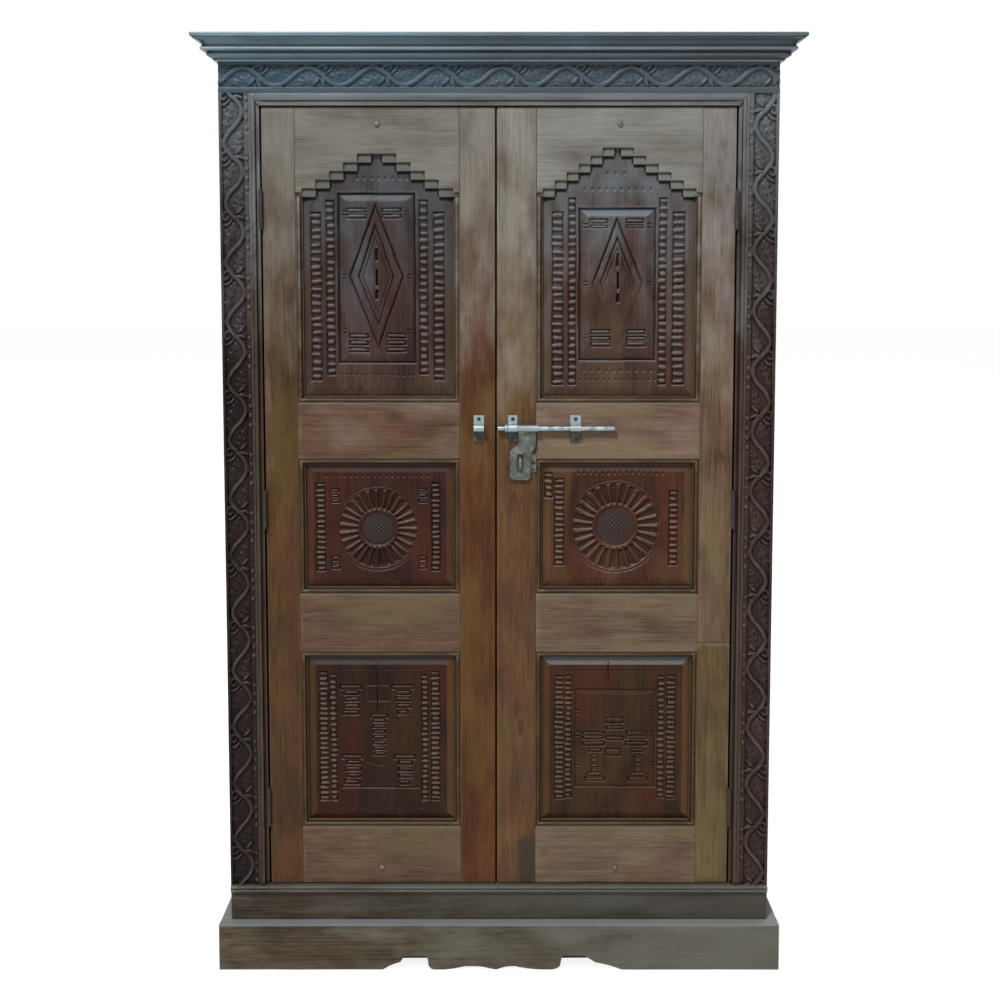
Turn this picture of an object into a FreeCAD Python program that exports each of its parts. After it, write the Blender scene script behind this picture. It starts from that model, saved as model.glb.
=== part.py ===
import FreeCAD, Part
import Sketcher
import os
import re

# Carved two-door wardrobe of old hardwood, in millimetres.
# +Z is up, the doors face -Y, and the origin is the middle of the rectangle it stands on.

SIZES = {
    # whole cabinet
    "overall_height": 1915,
    "body_width": 1120,
    "body_depth": 450,
    # carcass boards
    "side_thickness": 22,
    "top_thickness": 22,
    "floor_thickness": 20,
    "back_thickness": 12,
    "back_board_count": 6,
    "back_board_gap": 0.6,
    "frame_thickness": 24,
    # plinth and base
    "plinth_height": 97,
    "plinth_side_thickness": 21,
    "plinth_front_thickness": 27,
    "plinth_back_thickness": 22,
    "base_rail_lift": 10,
    "sill_strip_base": 155,
    "sill_strip_height": 14,
    "sill_strip_depth": 24,
    "sill_strip_projection": 3,
    "corner_block_width": 45,
    "apron_left_run": 235,
    "apron_right_run": 261,
    "apron_rise": 31,
    # carved frame round the doors
    "frame_stile_width": 60,
    "jamb_width": 20,
    "jamb_head_height": 25,
    "jamb_lip_width": 8,
    "jamb_head_lip_height": 10,
    "door_recess": 6,
    "frieze_height": 61,
    # cornice
    "cornice_height": 51,
    "cornice_projection": 45,
    "cornice_fillet_height": 8,
    "cornice_cove_height": 18,
    "cornice_cove_projection": 20,
    "cornice_cove_sagitta": 4,
    "cornice_bead_height": 5,
    "cornice_ogee_height": 14,
    "cornice_ogee_projection": 12,
    "cornice_ogee_sagitta": 2.6,
    # shelves
    "shelf_thickness": 20,
    "shelf_setback": 28,
    "cleat_height": 24,
    "cleat_width": 20,
    "cleat_setback": 30,
    "floor_space_height": 421,
    "top_space_height": 463,
    "door_stop_height": 16,
    "door_stop_depth": 18,
    "door_stop_clearance": 0.3,
    # doors
    "door_thickness": 36,
    "door_side_gap": 3.5,
    "door_end_gap": 2,
    "meeting_gap": 3,
    "meeting_offset": -6,
    "hinge_stile_width": 67,
    "left_meeting_stile_width": 72,
    "right_meeting_stile_width": 80,
    "bottom_rail_height": 121,
    "lower_rail_height": 122,
    "lock_rail_height": 115,
    "top_rail_height": 179,
    "lower_bay_share": 93,
    "middle_bay_share": 70,
    "upper_bay_share": 104,
    "groove_setback": 14,
    "groove_width": 12,
    "groove_depth": 8,
    "panel_clearance": 1,
    "panel_raise": 5,
    "panel_bevel_width": 16,
    "beading_width": 13,
    "beading_recess": 1,
    "beading_inner_thickness": 4,
    # stepped arches
    "left_arch_height": 86,
    "left_arch_step_count": 5,
    "right_arch_height": 98,
    "right_arch_step_count": 6,
    "left_peak_width": 22,
    "right_peak_width": 13,
    "left_arch_offset": -1,
    "right_arch_offset": -4,
    "arch_ledge_depth": 4,
    "arch_ledge_drop": 9,
    # pegs through the rails
    "peg_radius": 4,
    "peg_length": 24,
    "peg_rise": 2,
    "peg_fit": 0.1,
    "peg_drop": 34,
    # hinges
    "hinge_height": 77,
    "hinge_upper_drop": 205,
    "hinge_middle_drop": 104,
    "hinge_lower_rise": 164,
    "knuckle_radius": 4,
    "knuckle_gap": 0.5,
    "knuckle_setout": 4.3,
    "pin_radius": 2.25,
    "pin_fit": 0.05,
    "pin_tip_height": 3,
    "pin_tip_radius": 3.2,
    "leaf_thickness": 1.5,
    "leaf_width": 29,
    "leaf_screw_spacing": 25,
    "leaf_screw_setback": 19,
    "leaf_screw_radius": 1.8,
    "leaf_screw_head_radius": 3.3,
    "leaf_screw_length": 14,
    "screw_fit": 0.1,
    # bolt and hasp latch
    "bolt_rise": 64,
    "bolt_radius": 5,
    "bolt_length": 240,
    "bolt_thrown_end": -59,
    "bolt_travel": 55,
    "bolt_standoff": 9.5,
    "slide_fit": 0.3,
    "keeper_fit": 1.2,
    "strap_thickness": 2,
    "strap_height": 55,
    "strap_drop": 29,
    "keeper_width": 21,
    "keeper_place": -41,
    "middle_guide_width": 19,
    "middle_guide_place": 28,
    "right_guide_width": 22,
    "right_guide_place": 156,
    "strap_screw_spread": 20,
    "sleeve_wall": 1.8,
    "sleeve_start": 12,
    "sleeve_end": 80,
    "sleeve_flange_width": 5,
    "sleeve_flange_wall": 1.6,
    "hasp_thickness": 3,
    "hasp_setback": 2.5,
    "hasp_neck_start": 39,
    "hasp_neck_end": 75,
    "hasp_neck_height": 33,
    "hasp_shoulder": 41,
    "hasp_plate_start": 22,
    "hasp_plate_end": 64,
    "hasp_drop": 106,
    "hasp_corner": 6,
    "hasp_slot_start": 37,
    "hasp_slot_end": 49,
    "hasp_slot_top": 53,
    "hasp_slot_length": 37,
    "eye_thickness": 5,
    "eye_width": 28,
    "eye_reach": 22,
    "eye_hole_radius": 5,
    "eye_hole_reach": 14.5,
    "eye_drop": 71.5,
    "eye_plate_start": 28,
    "eye_plate_end": 76,
    "eye_plate_height": 38,
    "eye_plate_thickness": 1.6,
    "eye_screw_inset": 5.5,
    "latch_screw_radius": 1.9,
    "latch_screw_head_radius": 3.8,
    "latch_screw_head_height": 1.3,
    "latch_screw_length": 13,
    # how far a cutting tool runs past what it cuts
    "overrun": 5,
}

ALIAS = re.compile(r"\b(" + "|".join(sorted(SIZES, key=len, reverse=True)) + r")\b")

doc = FreeCAD.newDocument("CarvedCabinet")
sheet = doc.addObject("Spreadsheet::Sheet", "Sizes")
for row, (name, size) in enumerate(SIZES.items(), start=1):
    sheet.set(f"A{row}", name)
    sheet.set(f"B{row}", str(size))
    sheet.setAlias(f"B{row}", name)
doc.recompute()

nodes = []


# Reading sizes from the sheet

def cells(text):
    """The expression with each named size pointing at its cell."""
    return ALIAS.sub(r"Sizes.\1", text)


def bind(thing, **expressions):
    """Ties properties of a document object to named sizes."""
    for name, text in expressions.items():
        thing.setExpression(name, cells(text))


def place(thing, x="0", y="0", z="0", rotation=None):
    """Gives a document object its rotation, and a position tied to named sizes."""
    if rotation is not None:
        thing.Placement = FreeCAD.Placement(FreeCAD.Vector(), rotation)
    for axis, text in (("x", x), ("y", y), ("z", z)):
        thing.setExpression(f"Placement.Base.{axis}", cells(text))


def values_of(texts):
    """What a list of expressions comes to with the sheet's present sizes."""
    probe = doc.addObject("App::FeaturePython", "Probe")
    for index, text in enumerate(texts):
        probe.addProperty("App::PropertyFloat", f"value{index}")
        probe.setExpression(f"value{index}", cells(text))
    probe.recompute()
    found = [getattr(probe, f"value{index}") for index in range(len(texts))]
    doc.removeObject(probe.Name)
    return found


# Lines and planes that several pieces share

FACE = "((cornice_projection - body_depth) / 2)"
BACK = "((cornice_projection + body_depth) / 2)"
FRAME_BACK = f"({FACE} + frame_thickness)"
DOOR_FACE = f"({FACE} + door_recess)"
DOOR_BACK = f"({DOOR_FACE} + door_thickness)"
JAMB_BACK = f"({DOOR_BACK} + door_stop_clearance)"
BODY_SIDE = "(body_width / 2)"
INSIDE = "(body_width / 2 - side_thickness)"
JAMB_SIDE = "(body_width / 2 - frame_stile_width)"
OPENING_SIDE = "(body_width / 2 - frame_stile_width - jamb_width)"
SILL_TOP = "(sill_strip_base + sill_strip_height)"
CORNICE_BASE = "(overall_height - cornice_height)"
FRIEZE_BASE = f"({CORNICE_BASE} - frieze_height)"
OPENING_TOP = f"({FRIEZE_BASE} - jamb_head_height)"
TOP_UNDERSIDE = "(overall_height - top_thickness)"
DOOR_FOOT = f"({SILL_TOP} + door_end_gap)"
DOOR_TOP = f"({OPENING_TOP} - door_end_gap)"
BACK_FACE = f"({BACK} - back_thickness)"


def opposite(text):
    return f"(-({text}))"


def across(sign, near, far):
    """The X range of a piece that lies between two distances from the middle, on one side."""
    if sign > 0:
        return near, far
    return opposite(far), opposite(near)


# Ways to make a solid

def box(label, x, y, z):
    """A board given by its two faces along each axis."""
    board = doc.addObject("Part::Box", label)
    bind(board, Length=f"{x[1]} - {x[0]}", Width=f"{y[1]} - {y[0]}", Height=f"{z[1]} - {z[0]}")
    place(board, x[0], y[0], z[0])
    return board


TURN = {
    "X": FreeCAD.Rotation(FreeCAD.Vector(0, 1, 0), 90),
    "Y": FreeCAD.Rotation(FreeCAD.Vector(1, 0, 0), -90),
    "Z": FreeCAD.Rotation(),
}


def cylinder(label, axis, radius, length, x, y, z):
    """A round bar that starts at the given point and runs along a positive axis."""
    bar = doc.addObject("Part::Cylinder", label)
    bind(bar, Radius=radius, Height=length)
    place(bar, x, y, z, TURN[axis])
    return bar


def wedge(label, x, y, z, x2, z2):
    """A block whose face at the first Y has the ranges x and z, and at the second Y x2 and z2."""
    block = doc.addObject("Part::Wedge", label)
    # The ends start far apart, so that no range is empty while they are being set.
    for name in ("Xmin", "Ymin", "Zmin", "X2min", "Z2min"):
        setattr(block, name, -1)
    bind(block, Xmin=x[0], Xmax=x[1], Ymin=y[0], Ymax=y[1], Zmin=z[0], Zmax=z[1],
         X2min=x2[0], X2max=x2[1], Z2min=z2[0], Z2max=z2[1])
    return block


def joined(label, pieces):
    """One solid from pieces that meet."""
    if len(pieces) == 1:
        return pieces[0]
    union = doc.addObject("Part::MultiFuse", label)
    union.Shapes = pieces
    union.Refine = True
    return union


def group(label, pieces):
    """Separate solids kept together in one node."""
    compound = doc.addObject("Part::Compound", label)
    compound.Links = pieces
    return compound


def cut(label, base, tools):
    """The base less one or more tools."""
    result = doc.addObject("Part::Cut", label)
    result.Base = base
    result.Tool = group(label + "_tools", tools) if len(tools) > 1 else tools[0]
    result.Refine = True
    return result


def shared(label, first, second):
    """What two solids have in common."""
    result = doc.addObject("Part::Common", label)
    result.Base = first
    result.Tool = second
    result.Refine = True
    return result


def facing(first, second):
    """The turn that lays a piece's own X and Y along two directions of the cabinet."""
    along, up = FreeCAD.Vector(*first), FreeCAD.Vector(*second)
    return FreeCAD.Rotation(along, up, along.cross(up), "XYZ")


# A sketch's own X and Y, as seen from the front, from the left end and from the right end
FRONT_VIEW = facing((1, 0, 0), (0, 0, 1))
SIDE_VIEW = facing((0, -1, 0), (0, 0, 1))
LEFT_VIEW = facing((-1, 0, 0), (0, 0, 1))


def outline(label, points, depth, rotation, x="0", y="0", z="0"):
    """A padded sketch. Each point is (across, up), and a third item marks the middle of an arc.

    Every point is held by two distances tied to named sizes, so the outline follows them.
    """
    body = doc.addObject("PartDesign::Body", label + "_body")
    sketch = body.newObject("Sketcher::SketchObject", label + "_outline")
    plane = next(item for item in body.Origin.OriginFeatures if item.Role == "XY_Plane")
    sketch.AttachmentSupport = (plane, "")
    sketch.MapMode = "FlatFace"
    numbers = values_of([text for point in points for text in point[:2]])
    spots = [FreeCAD.Vector(numbers[2 * i], numbers[2 * i + 1], 0) for i in range(len(points))]
    corners = [i for i, point in enumerate(points) if len(point) == 2]
    edges, rules = [], []
    for here, corner in enumerate(corners):
        first, last = spots[corner], spots[corners[(here + 1) % len(corners)]]
        middle = corner + 1
        if middle < len(points) and len(points[middle]) == 3:
            through = spots[middle]
            # A sketch keeps its arcs anticlockwise, so a clockwise one is drawn from its far end.
            start = 1 if (through - first).cross(last - through).z > 0 else 2
            ends = (first, last) if start == 1 else (last, first)
            edge = sketch.addGeometry(Part.Arc(ends[0], through, ends[1]), False)
            on_arc = sketch.addGeometry(Part.Point(through), True)
            rules += held(on_arc, 1, points[middle], through)
            rules.append((Sketcher.Constraint("PointOnObject", on_arc, 1, edge), None))
        else:
            edge = sketch.addGeometry(Part.LineSegment(first, last), False)
            start = 1
        edges.append((edge, start))
        rules += held(edge, start, points[corner], first)
    for (edge, start), (other, other_start) in zip(edges, edges[1:] + edges[:1]):
        end = 2 if start == 1 else 1
        rules.append((Sketcher.Constraint("Coincident", edge, end, other, other_start), None))
    sketch.addConstraint([rule for rule, text in rules])
    for index, (rule, text) in enumerate(rules):
        if text is not None:
            sketch.setExpression(f"Constraints[{index}]", cells(text))
    pad = body.newObject("PartDesign::Pad", label + "_pad")
    pad.Profile = sketch
    bind(pad, Length=depth)
    place(body, x, y, z, rotation)
    return body


def held(geometry, point, texts, spot):
    """The two rules that hold a point of a sketch, each with the expression it follows."""
    return [
        (Sketcher.Constraint("DistanceX", -1, 1, geometry, point, spot.x), texts[0]),
        (Sketcher.Constraint("DistanceY", -1, 1, geometry, point, spot.y), texts[1]),
    ]


def node(label, piece):
    """Marks a finished sub-part, whose name also names its file."""
    piece.Label = label
    nodes.append(piece)
    return piece


# Carcass

def carcass():
    for side, sign in (("left", -1), ("right", 1)):
        x = across(sign, INSIDE, BODY_SIDE)
        node(f"side_panel_{side}", box(f"side_{side}", x, (FRAME_BACK, BACK), ("0", TOP_UNDERSIDE)))
    width = (opposite(BODY_SIDE), BODY_SIDE)
    node("top_board", box("top", width, (FACE, BACK), (TOP_UNDERSIDE, "overall_height")))
    inside = (opposite(INSIDE), INSIDE)
    floor_base = f"({SILL_TOP} - floor_thickness)"
    node("bottom_board", box("floor", inside, (FRAME_BACK, BACK_FACE), (floor_base, SILL_TOP)))
    boards = []
    for index in range(SIZES["back_board_count"]):
        width = f"(({INSIDE} * 2 + back_board_gap) / back_board_count)"
        start = f"({opposite(INSIDE)} + {width} * {index})"
        end = f"({start} + {width} - back_board_gap)"
        boards.append(box(f"back_{index}", (start, end), (BACK_FACE, BACK), ("plinth_height", TOP_UNDERSIDE)))
    node("back_boards", group("back", boards))
    cleats = []
    # The middle shelf lies halfway between the other two.
    lower, upper = f"({SILL_TOP} + floor_space_height)", f"({TOP_UNDERSIDE} - top_space_height)"
    for name, top in (("lower", lower), ("middle", f"(({lower} + {upper}) / 2)"), ("upper", upper)):
        underside = f"({top} - shelf_thickness)"
        front = f"({DOOR_BACK} + shelf_setback)"
        node(f"shelf_{name}", box(f"shelf_{name}_board", inside, (front, BACK_FACE), (underside, top)))
        cleats += cleat_pair(name, f"({front} + cleat_setback)", underside)
    cleats += cleat_pair("floor", f"({FRAME_BACK} + corner_block_width)", floor_base)
    node("shelf_cleats", group("cleats", cleats))


def cleat_pair(name, front, top):
    """Battens on both side panels that carry a board."""
    pair = []
    for side, sign in (("left", -1), ("right", 1)):
        x = across(sign, f"({INSIDE} - cleat_width)", INSIDE)
        end = f"({BACK_FACE} - cleat_setback - corner_block_width)"
        pair.append(box(f"cleat_{name}_{side}", x, (front, end), (f"({top} - cleat_height)", top)))
    return pair


# Plinth and base

# Across and up, as shares of a run and of the rise, from the middle tip outwards.
# "round" marks the middle of an arc that ends at the next point.
APRON_LEFT_SHARES = [
    (0.06, 0.09), (0.13, 0.2, "round"), (0.2, 0.23), (0.28, 0.23), (0.36, 0.1, "round"),
    (0.46, 0.0), (0.545, 0.0), (0.58, 0.1, "round"), (0.6, 0.3), (0.61, 0.95), (0.81, 0.95),
    (0.845, 0.52), (0.93, 0.3, "round"), (1.0, 0.0),
]
APRON_RIGHT_SHARES = [
    (0.05, 0.14), (0.1, 0.22, "round"), (0.16, 0.22), (0.19, 0.16), (0.27, 0.06, "round"),
    (0.38, 0.0), (0.44, 0.0), (0.48, 0.085, "round"), (0.51, 0.24), (0.525, 0.98), (0.7, 0.98),
    (0.79, 0.5), (0.9, 0.3, "round"), (1.0, 0.0),
]


def apron_points(shares, run, sign):
    """One half of the scalloped lower edge."""
    points = []
    for share in shares:
        spot = (f"(meeting_offset + {sign} * {run} * {share[0]})", f"(apron_rise * {share[1]})")
        points.append(spot + tuple(share[2:]))
    return points


def plinth():
    outer = f"({BODY_SIDE} + plinth_side_thickness)"
    left = apron_points(APRON_LEFT_SHARES, "apron_left_run", -1)
    right = apron_points(APRON_RIGHT_SHARES, "apron_right_run", 1)
    points = [(opposite(outer), "0")] + left[::-1] + [("meeting_offset", "0")] + right
    points += [(outer, "0"), (outer, "plinth_height"), (opposite(outer), "plinth_height")]
    front = outline("plinth_front", points, "plinth_front_thickness", FRONT_VIEW, y=FACE)
    node("plinth_front", front)
    for side, sign in (("left", -1), ("right", 1)):
        x = across(sign, BODY_SIDE, outer)
        node(f"plinth_{side}", box(f"plinth_board_{side}", x, (FACE, BACK), ("0", "plinth_height")))
    inside = (opposite(INSIDE), INSIDE)
    back = (f"({BACK} - plinth_back_thickness)", BACK)
    node("plinth_back", box("plinth_board_back", inside, back, ("0", "plinth_height")))
    width = (opposite(BODY_SIDE), BODY_SIDE)
    node("base_rail", box("base_board", width, (FACE, FRAME_BACK), ("base_rail_lift", "sill_strip_base")))
    blocks = []
    for sign in (-1, 1):
        x = across(sign, f"({INSIDE} - corner_block_width)", INSIDE)
        for end, y in (("front", (FRAME_BACK, f"({FRAME_BACK} + corner_block_width)")),
                       ("back", (f"({back[0]} - corner_block_width)", back[0]))):
            z = ("base_rail_lift", f"({SILL_TOP} - floor_thickness)")
            blocks.append(box(f"block_{end}", x, y, z))
    node("corner_blocks", group("blocks", blocks))
    half = "(sill_strip_height / 2)"
    profile = [
        (opposite("sill_strip_depth"), "0"), ("sill_strip_projection", "0"),
        (f"(sill_strip_projection + {half} / 2)", f"({half} / 2)", "round"), ("sill_strip_projection", half),
        (f"(sill_strip_projection + {half} / 2)", f"({half} * 3 / 2)", "round"),
        ("sill_strip_projection", "sill_strip_height"), (opposite("sill_strip_depth"), "sill_strip_height"),
    ]
    strip_place = (BODY_SIDE, FACE, "sill_strip_base")
    node("sill_strip", outline("sill_strip", profile, "body_width", SIDE_VIEW, *strip_place))


# Carved frame and jambs

def frame():
    for side, sign in (("left", -1), ("right", 1)):
        x = across(sign, JAMB_SIDE, BODY_SIDE)
        node(f"frame_stile_{side}", box(f"stile_{side}", x, (FACE, FRAME_BACK), (SILL_TOP, FRIEZE_BASE)))
    width = (opposite(BODY_SIDE), BODY_SIDE)
    node("frame_head", box("frieze", width, (FACE, FRAME_BACK), (FRIEZE_BASE, TOP_UNDERSIDE)))
    for side, sign in (("left", -1), ("right", 1)):
        node(f"jamb_{side}", jamb(side, sign))
    node("jamb_head", jamb_head())
    stop = (JAMB_BACK, f"({JAMB_BACK} + door_stop_depth)")
    between = (opposite(INSIDE), INSIDE)
    node("door_stops", group("stops", [
        box("stop_sill", between, stop, (SILL_TOP, f"({SILL_TOP} + door_stop_height)")),
        box("stop_head", between, stop, (f"({OPENING_TOP} - door_stop_height)", FRIEZE_BASE)),
    ]))


def jamb(side, sign):
    """A stepped upright beside the doors, mitred to the head and bored for the hinge screws."""
    lip = f"({OPENING_SIDE} + jamb_lip_width)"
    upright = (SILL_TOP, FRIEZE_BASE)
    pieces = [
        box(f"jamb_outer_{side}", across(sign, lip, JAMB_SIDE), (FACE, JAMB_BACK), upright),
        box(f"jamb_lip_{side}", across(sign, OPENING_SIDE, JAMB_SIDE), (DOOR_FACE, JAMB_BACK), upright),
    ]
    stepped = joined(f"jamb_profile_{side}", pieces)
    mitre = wedge(
        f"jamb_mitre_{side}", ("0", f"({JAMB_BACK} - {FACE})"), ("0", "jamb_width"),
        ("0", f"({FRIEZE_BASE} - {SILL_TOP})"), ("0", f"({JAMB_BACK} - {FACE})"),
        ("0", f"({OPENING_TOP} - {SILL_TOP})"))
    if sign > 0:
        place(mitre, JAMB_SIDE, FACE, SILL_TOP, facing((0, 1, 0), (-1, 0, 0)))
    else:
        place(mitre, opposite(JAMB_SIDE), JAMB_BACK, SILL_TOP, facing((0, -1, 0), (1, 0, 0)))
    upright = shared(f"jamb_mitred_{side}", stepped, mitre)
    return cut(f"jamb_bored_{side}", upright, leaf_screw_holes("frame", sign))


def jamb_head():
    """The stepped head over the doors, with the slanted ends of both mitres."""
    lip = f"({OPENING_TOP} + jamb_head_lip_height)"
    width = (opposite(JAMB_SIDE), JAMB_SIDE)
    stepped = joined("head_profile", [
        box("head_outer", width, (FACE, JAMB_BACK), (lip, FRIEZE_BASE)),
        box("head_lip", width, (DOOR_FACE, JAMB_BACK), (OPENING_TOP, FRIEZE_BASE)),
    ])
    points = [
        (opposite(OPENING_SIDE), OPENING_TOP), (OPENING_SIDE, OPENING_TOP),
        (JAMB_SIDE, FRIEZE_BASE), (opposite(JAMB_SIDE), FRIEZE_BASE),
    ]
    ends = outline("head_ends", points, f"({JAMB_BACK} - {FACE})", FRONT_VIEW, y=JAMB_BACK)
    return shared("head_mitred", stepped, ends)


# Cornice

def cornice_profile():
    """From the body outwards and from the bottom up: ogee, bead, cove and top fillet."""
    cove_foot = "(cornice_height - cornice_fillet_height - cornice_cove_height)"
    bead_foot = f"({cove_foot} - cornice_bead_height)"
    ogee_foot = f"({bead_foot} - cornice_ogee_height)"
    cove_start = "(cornice_projection - cornice_cove_projection)"
    ogee_start = f"({cove_start} - cornice_ogee_projection)"
    ogee_mid = f"({cove_start} + {ogee_start}) / 2"
    cove_mid = f"({cove_start} + cornice_projection) / 2"
    return [
        ("0", "0"), (f"({ogee_start} / 2)", "0"), (ogee_start, ogee_foot),
        (f"({ogee_mid} + cornice_ogee_sagitta)",
         f"(({ogee_foot} + {bead_foot}) / 2 - cornice_ogee_sagitta)", "round"),
        (cove_start, bead_foot), (cove_start, cove_foot),
        (f"({cove_mid} - cornice_cove_sagitta)",
         f"({cove_foot} + cornice_cove_height / 2 + cornice_cove_sagitta)", "round"),
        ("cornice_projection", "(cornice_height - cornice_fillet_height)"),
        ("cornice_projection", "cornice_height"), ("0", "cornice_height"),
    ]


def cornice():
    """Three lengths of one moulding, mitred where they meet at the front corners."""
    out = f"({BODY_SIDE} + cornice_projection)"
    front_edge = f"({FACE} - cornice_projection)"
    height = (CORNICE_BASE, "overall_height")
    run = outline("cornice_run_front", cornice_profile(), f"{out} * 2", SIDE_VIEW, out, FACE, CORNICE_BASE)
    trapezoid = wedge("cornice_mitre_front", (opposite(out), out), (front_edge, FACE), height,
                      (opposite(BODY_SIDE), BODY_SIDE), height)
    node("cornice_front", shared("cornice_cut_front", run, trapezoid))
    length = f"({BACK} - {front_edge})"
    for side, sign in (("left", -1), ("right", 1)):
        if sign < 0:
            view, start = LEFT_VIEW, front_edge
        else:
            view, start = FRONT_VIEW, BACK
        run = outline(f"cornice_run_{side}", cornice_profile(), length, view,
                      f"({sign} * {BODY_SIDE})", start, CORNICE_BASE)
        # The plan of a side length, seen from above: long on its outer edge.
        corners = [(BODY_SIDE, FACE), (out, front_edge), (out, BACK), (BODY_SIDE, BACK)]
        corners = [(f"({sign} * {across_text})", along) for across_text, along in corners]
        plan = outline(f"cornice_plan_{side}", corners, "cornice_height", FreeCAD.Rotation(), z=CORNICE_BASE)
        node(f"cornice_{side}", shared(f"cornice_cut_{side}", run, plan))


# Doors

# What the rails leave of a door's height is shared out between its three panels.
PANELS = (f"({DOOR_TOP} - {DOOR_FOOT} - bottom_rail_height - lower_rail_height"
          " - lock_rail_height - top_rail_height)")
ONE_SHARE = f"({PANELS} / (lower_bay_share + middle_bay_share + upper_bay_share))"
RAIL_FOOT = {"bottom": DOOR_FOOT}
RAIL_TOP = {"bottom": f"({DOOR_FOOT} + bottom_rail_height)"}
RAIL_FOOT["lower"] = f"({RAIL_TOP['bottom']} + {ONE_SHARE} * lower_bay_share)"
RAIL_TOP["lower"] = f"({RAIL_FOOT['lower']} + lower_rail_height)"
RAIL_FOOT["lock"] = f"({RAIL_TOP['lower']} + {ONE_SHARE} * middle_bay_share)"
RAIL_TOP["lock"] = f"({RAIL_FOOT['lock']} + lock_rail_height)"
RAIL_FOOT["top"] = f"({DOOR_TOP} - top_rail_height)"
RAIL_TOP["top"] = DOOR_TOP

GROOVE_FRONT = f"({DOOR_FACE} + groove_setback)"
GROOVE_BACK = f"({GROOVE_FRONT} + groove_width)"
FIELD_FACE = f"({GROOVE_FRONT} - panel_raise)"

MEETING = {
    "left": "(meeting_offset - meeting_gap / 2)",
    "right": "(meeting_offset + meeting_gap / 2)",
}
HANGING = {
    "left": f"(door_side_gap - {OPENING_SIDE})",
    "right": f"({OPENING_SIDE} - door_side_gap)",
}
BAY = {
    "left": (f"({HANGING['left']} + hinge_stile_width)",
             f"({MEETING['left']} - left_meeting_stile_width)"),
    "right": (f"({MEETING['right']} + right_meeting_stile_width)",
              f"({HANGING['right']} - hinge_stile_width)"),
}


def layers(label, x, z, x_middle, z_middle):
    """A frame member in three layers, the middle one grooved or tongued along its edges."""
    return [
        box(f"{label}_face", x, (DOOR_FACE, GROOVE_FRONT), z),
        box(f"{label}_core", x_middle, (GROOVE_FRONT, GROOVE_BACK), z_middle),
        box(f"{label}_rear", x, (GROOVE_BACK, DOOR_BACK), z),
    ]


def stile(label, x, groove_side, holes):
    """An upright of a door, grooved on its inner edge and bored for its screws."""
    if groove_side > 0:
        core = (x[0], f"({x[1]} - groove_depth)")
    else:
        core = (f"({x[0]} + groove_depth)", x[1])
    z = (DOOR_FOOT, DOOR_TOP)
    upright = joined(label, layers(label, x, z, core, z))
    return cut(f"{label}_bored", upright, holes)


def rail(label, side, name, above, below, holes=()):
    """A cross member with a tongue at each end, and a groove for each panel it holds."""
    left, right = BAY[side]
    foot, top = RAIL_FOOT[name], RAIL_TOP[name]
    core_foot = f"({foot} + groove_depth)" if below else foot
    core_top = f"({top} - groove_depth)" if above else top
    tongues = (f"({left} - groove_depth)", f"({right} + groove_depth)")
    member = joined(label, layers(label, (left, right), (foot, top), tongues, (core_foot, core_top)))
    if holes:
        return cut(f"{label}_bored", member, list(holes))
    return member


def stair(side, extra, drop):
    """The stepped underside of an arch, from left to right, widened by whole steps."""
    left, right = BAY[side]
    middle = f"(({left} + {right}) / 2 + {side}_arch_offset)"
    count = SIZES[f"{side}_arch_step_count"]
    rise = f"({side}_arch_height / {count})"
    spring = f"({RAIL_FOOT['top']} + {drop})"
    halves = []
    for sign, end in ((-1, f"({left} + beading_width)"), (1, f"({right} - beading_width)")):
        tread = f"(({sign} * ({end} - {middle}) - {side}_peak_width / 2) / {count})"
        half = []
        for step in range(count):
            reach = f"({middle} + {sign} * ({side}_peak_width / 2 + {tread} * {step + extra}))"
            upper = f"({RAIL_FOOT['top']} + {rise} * {count - step})"
            lower = f"({RAIL_FOOT['top']} + {rise} * {count - step - 1})"
            if step == count - 1:
                lower = spring
            half += [(reach, upper), (reach, lower)]
        halves.append(half)
    return halves[0][::-1] + halves[1]


def top_rail(side):
    """The rail over the upper panel, with a stepped arch and a ledge one step out from it."""
    left, right = BAY[side]
    foot, top = RAIL_FOOT["top"], RAIL_TOP["top"]
    steps = stair(side, 0, "0")
    points = [(left, top), (left, foot)] + steps + [(right, foot), (right, top)]
    face = outline(f"top_rail_{side}", points, "door_thickness", FRONT_VIEW, y=DOOR_BACK)
    pocket_top = f"({foot} + {side}_arch_height + groove_depth)"
    tongues = (f"({left} - groove_depth)", f"({right} + groove_depth)")
    member = joined(f"top_rail_tongued_{side}", [
        face, box(f"top_rail_tongue_{side}", tongues, (GROOVE_FRONT, GROOVE_BACK), (pocket_top, top)),
    ])
    past = f"({foot} - overrun)"
    pocket = box(f"top_rail_pocket_{side}", (left, right), (FIELD_FACE, GROOVE_BACK), (past, pocket_top))
    ledge_foot = f"({foot} + arch_ledge_drop)"
    ledge_points = [(left, past), (left, ledge_foot)] + stair(side, 1, "arch_ledge_drop")
    ledge_points += [(right, ledge_foot), (right, past)]
    ledge = outline(f"arch_ledge_{side}", ledge_points, "(arch_ledge_depth + overrun)", FRONT_VIEW,
                    y=f"({DOOR_FACE} + arch_ledge_depth)")
    return cut(f"top_rail_cut_{side}", member, [pocket, ledge] + [peg_hole(side, "top")])


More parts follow.
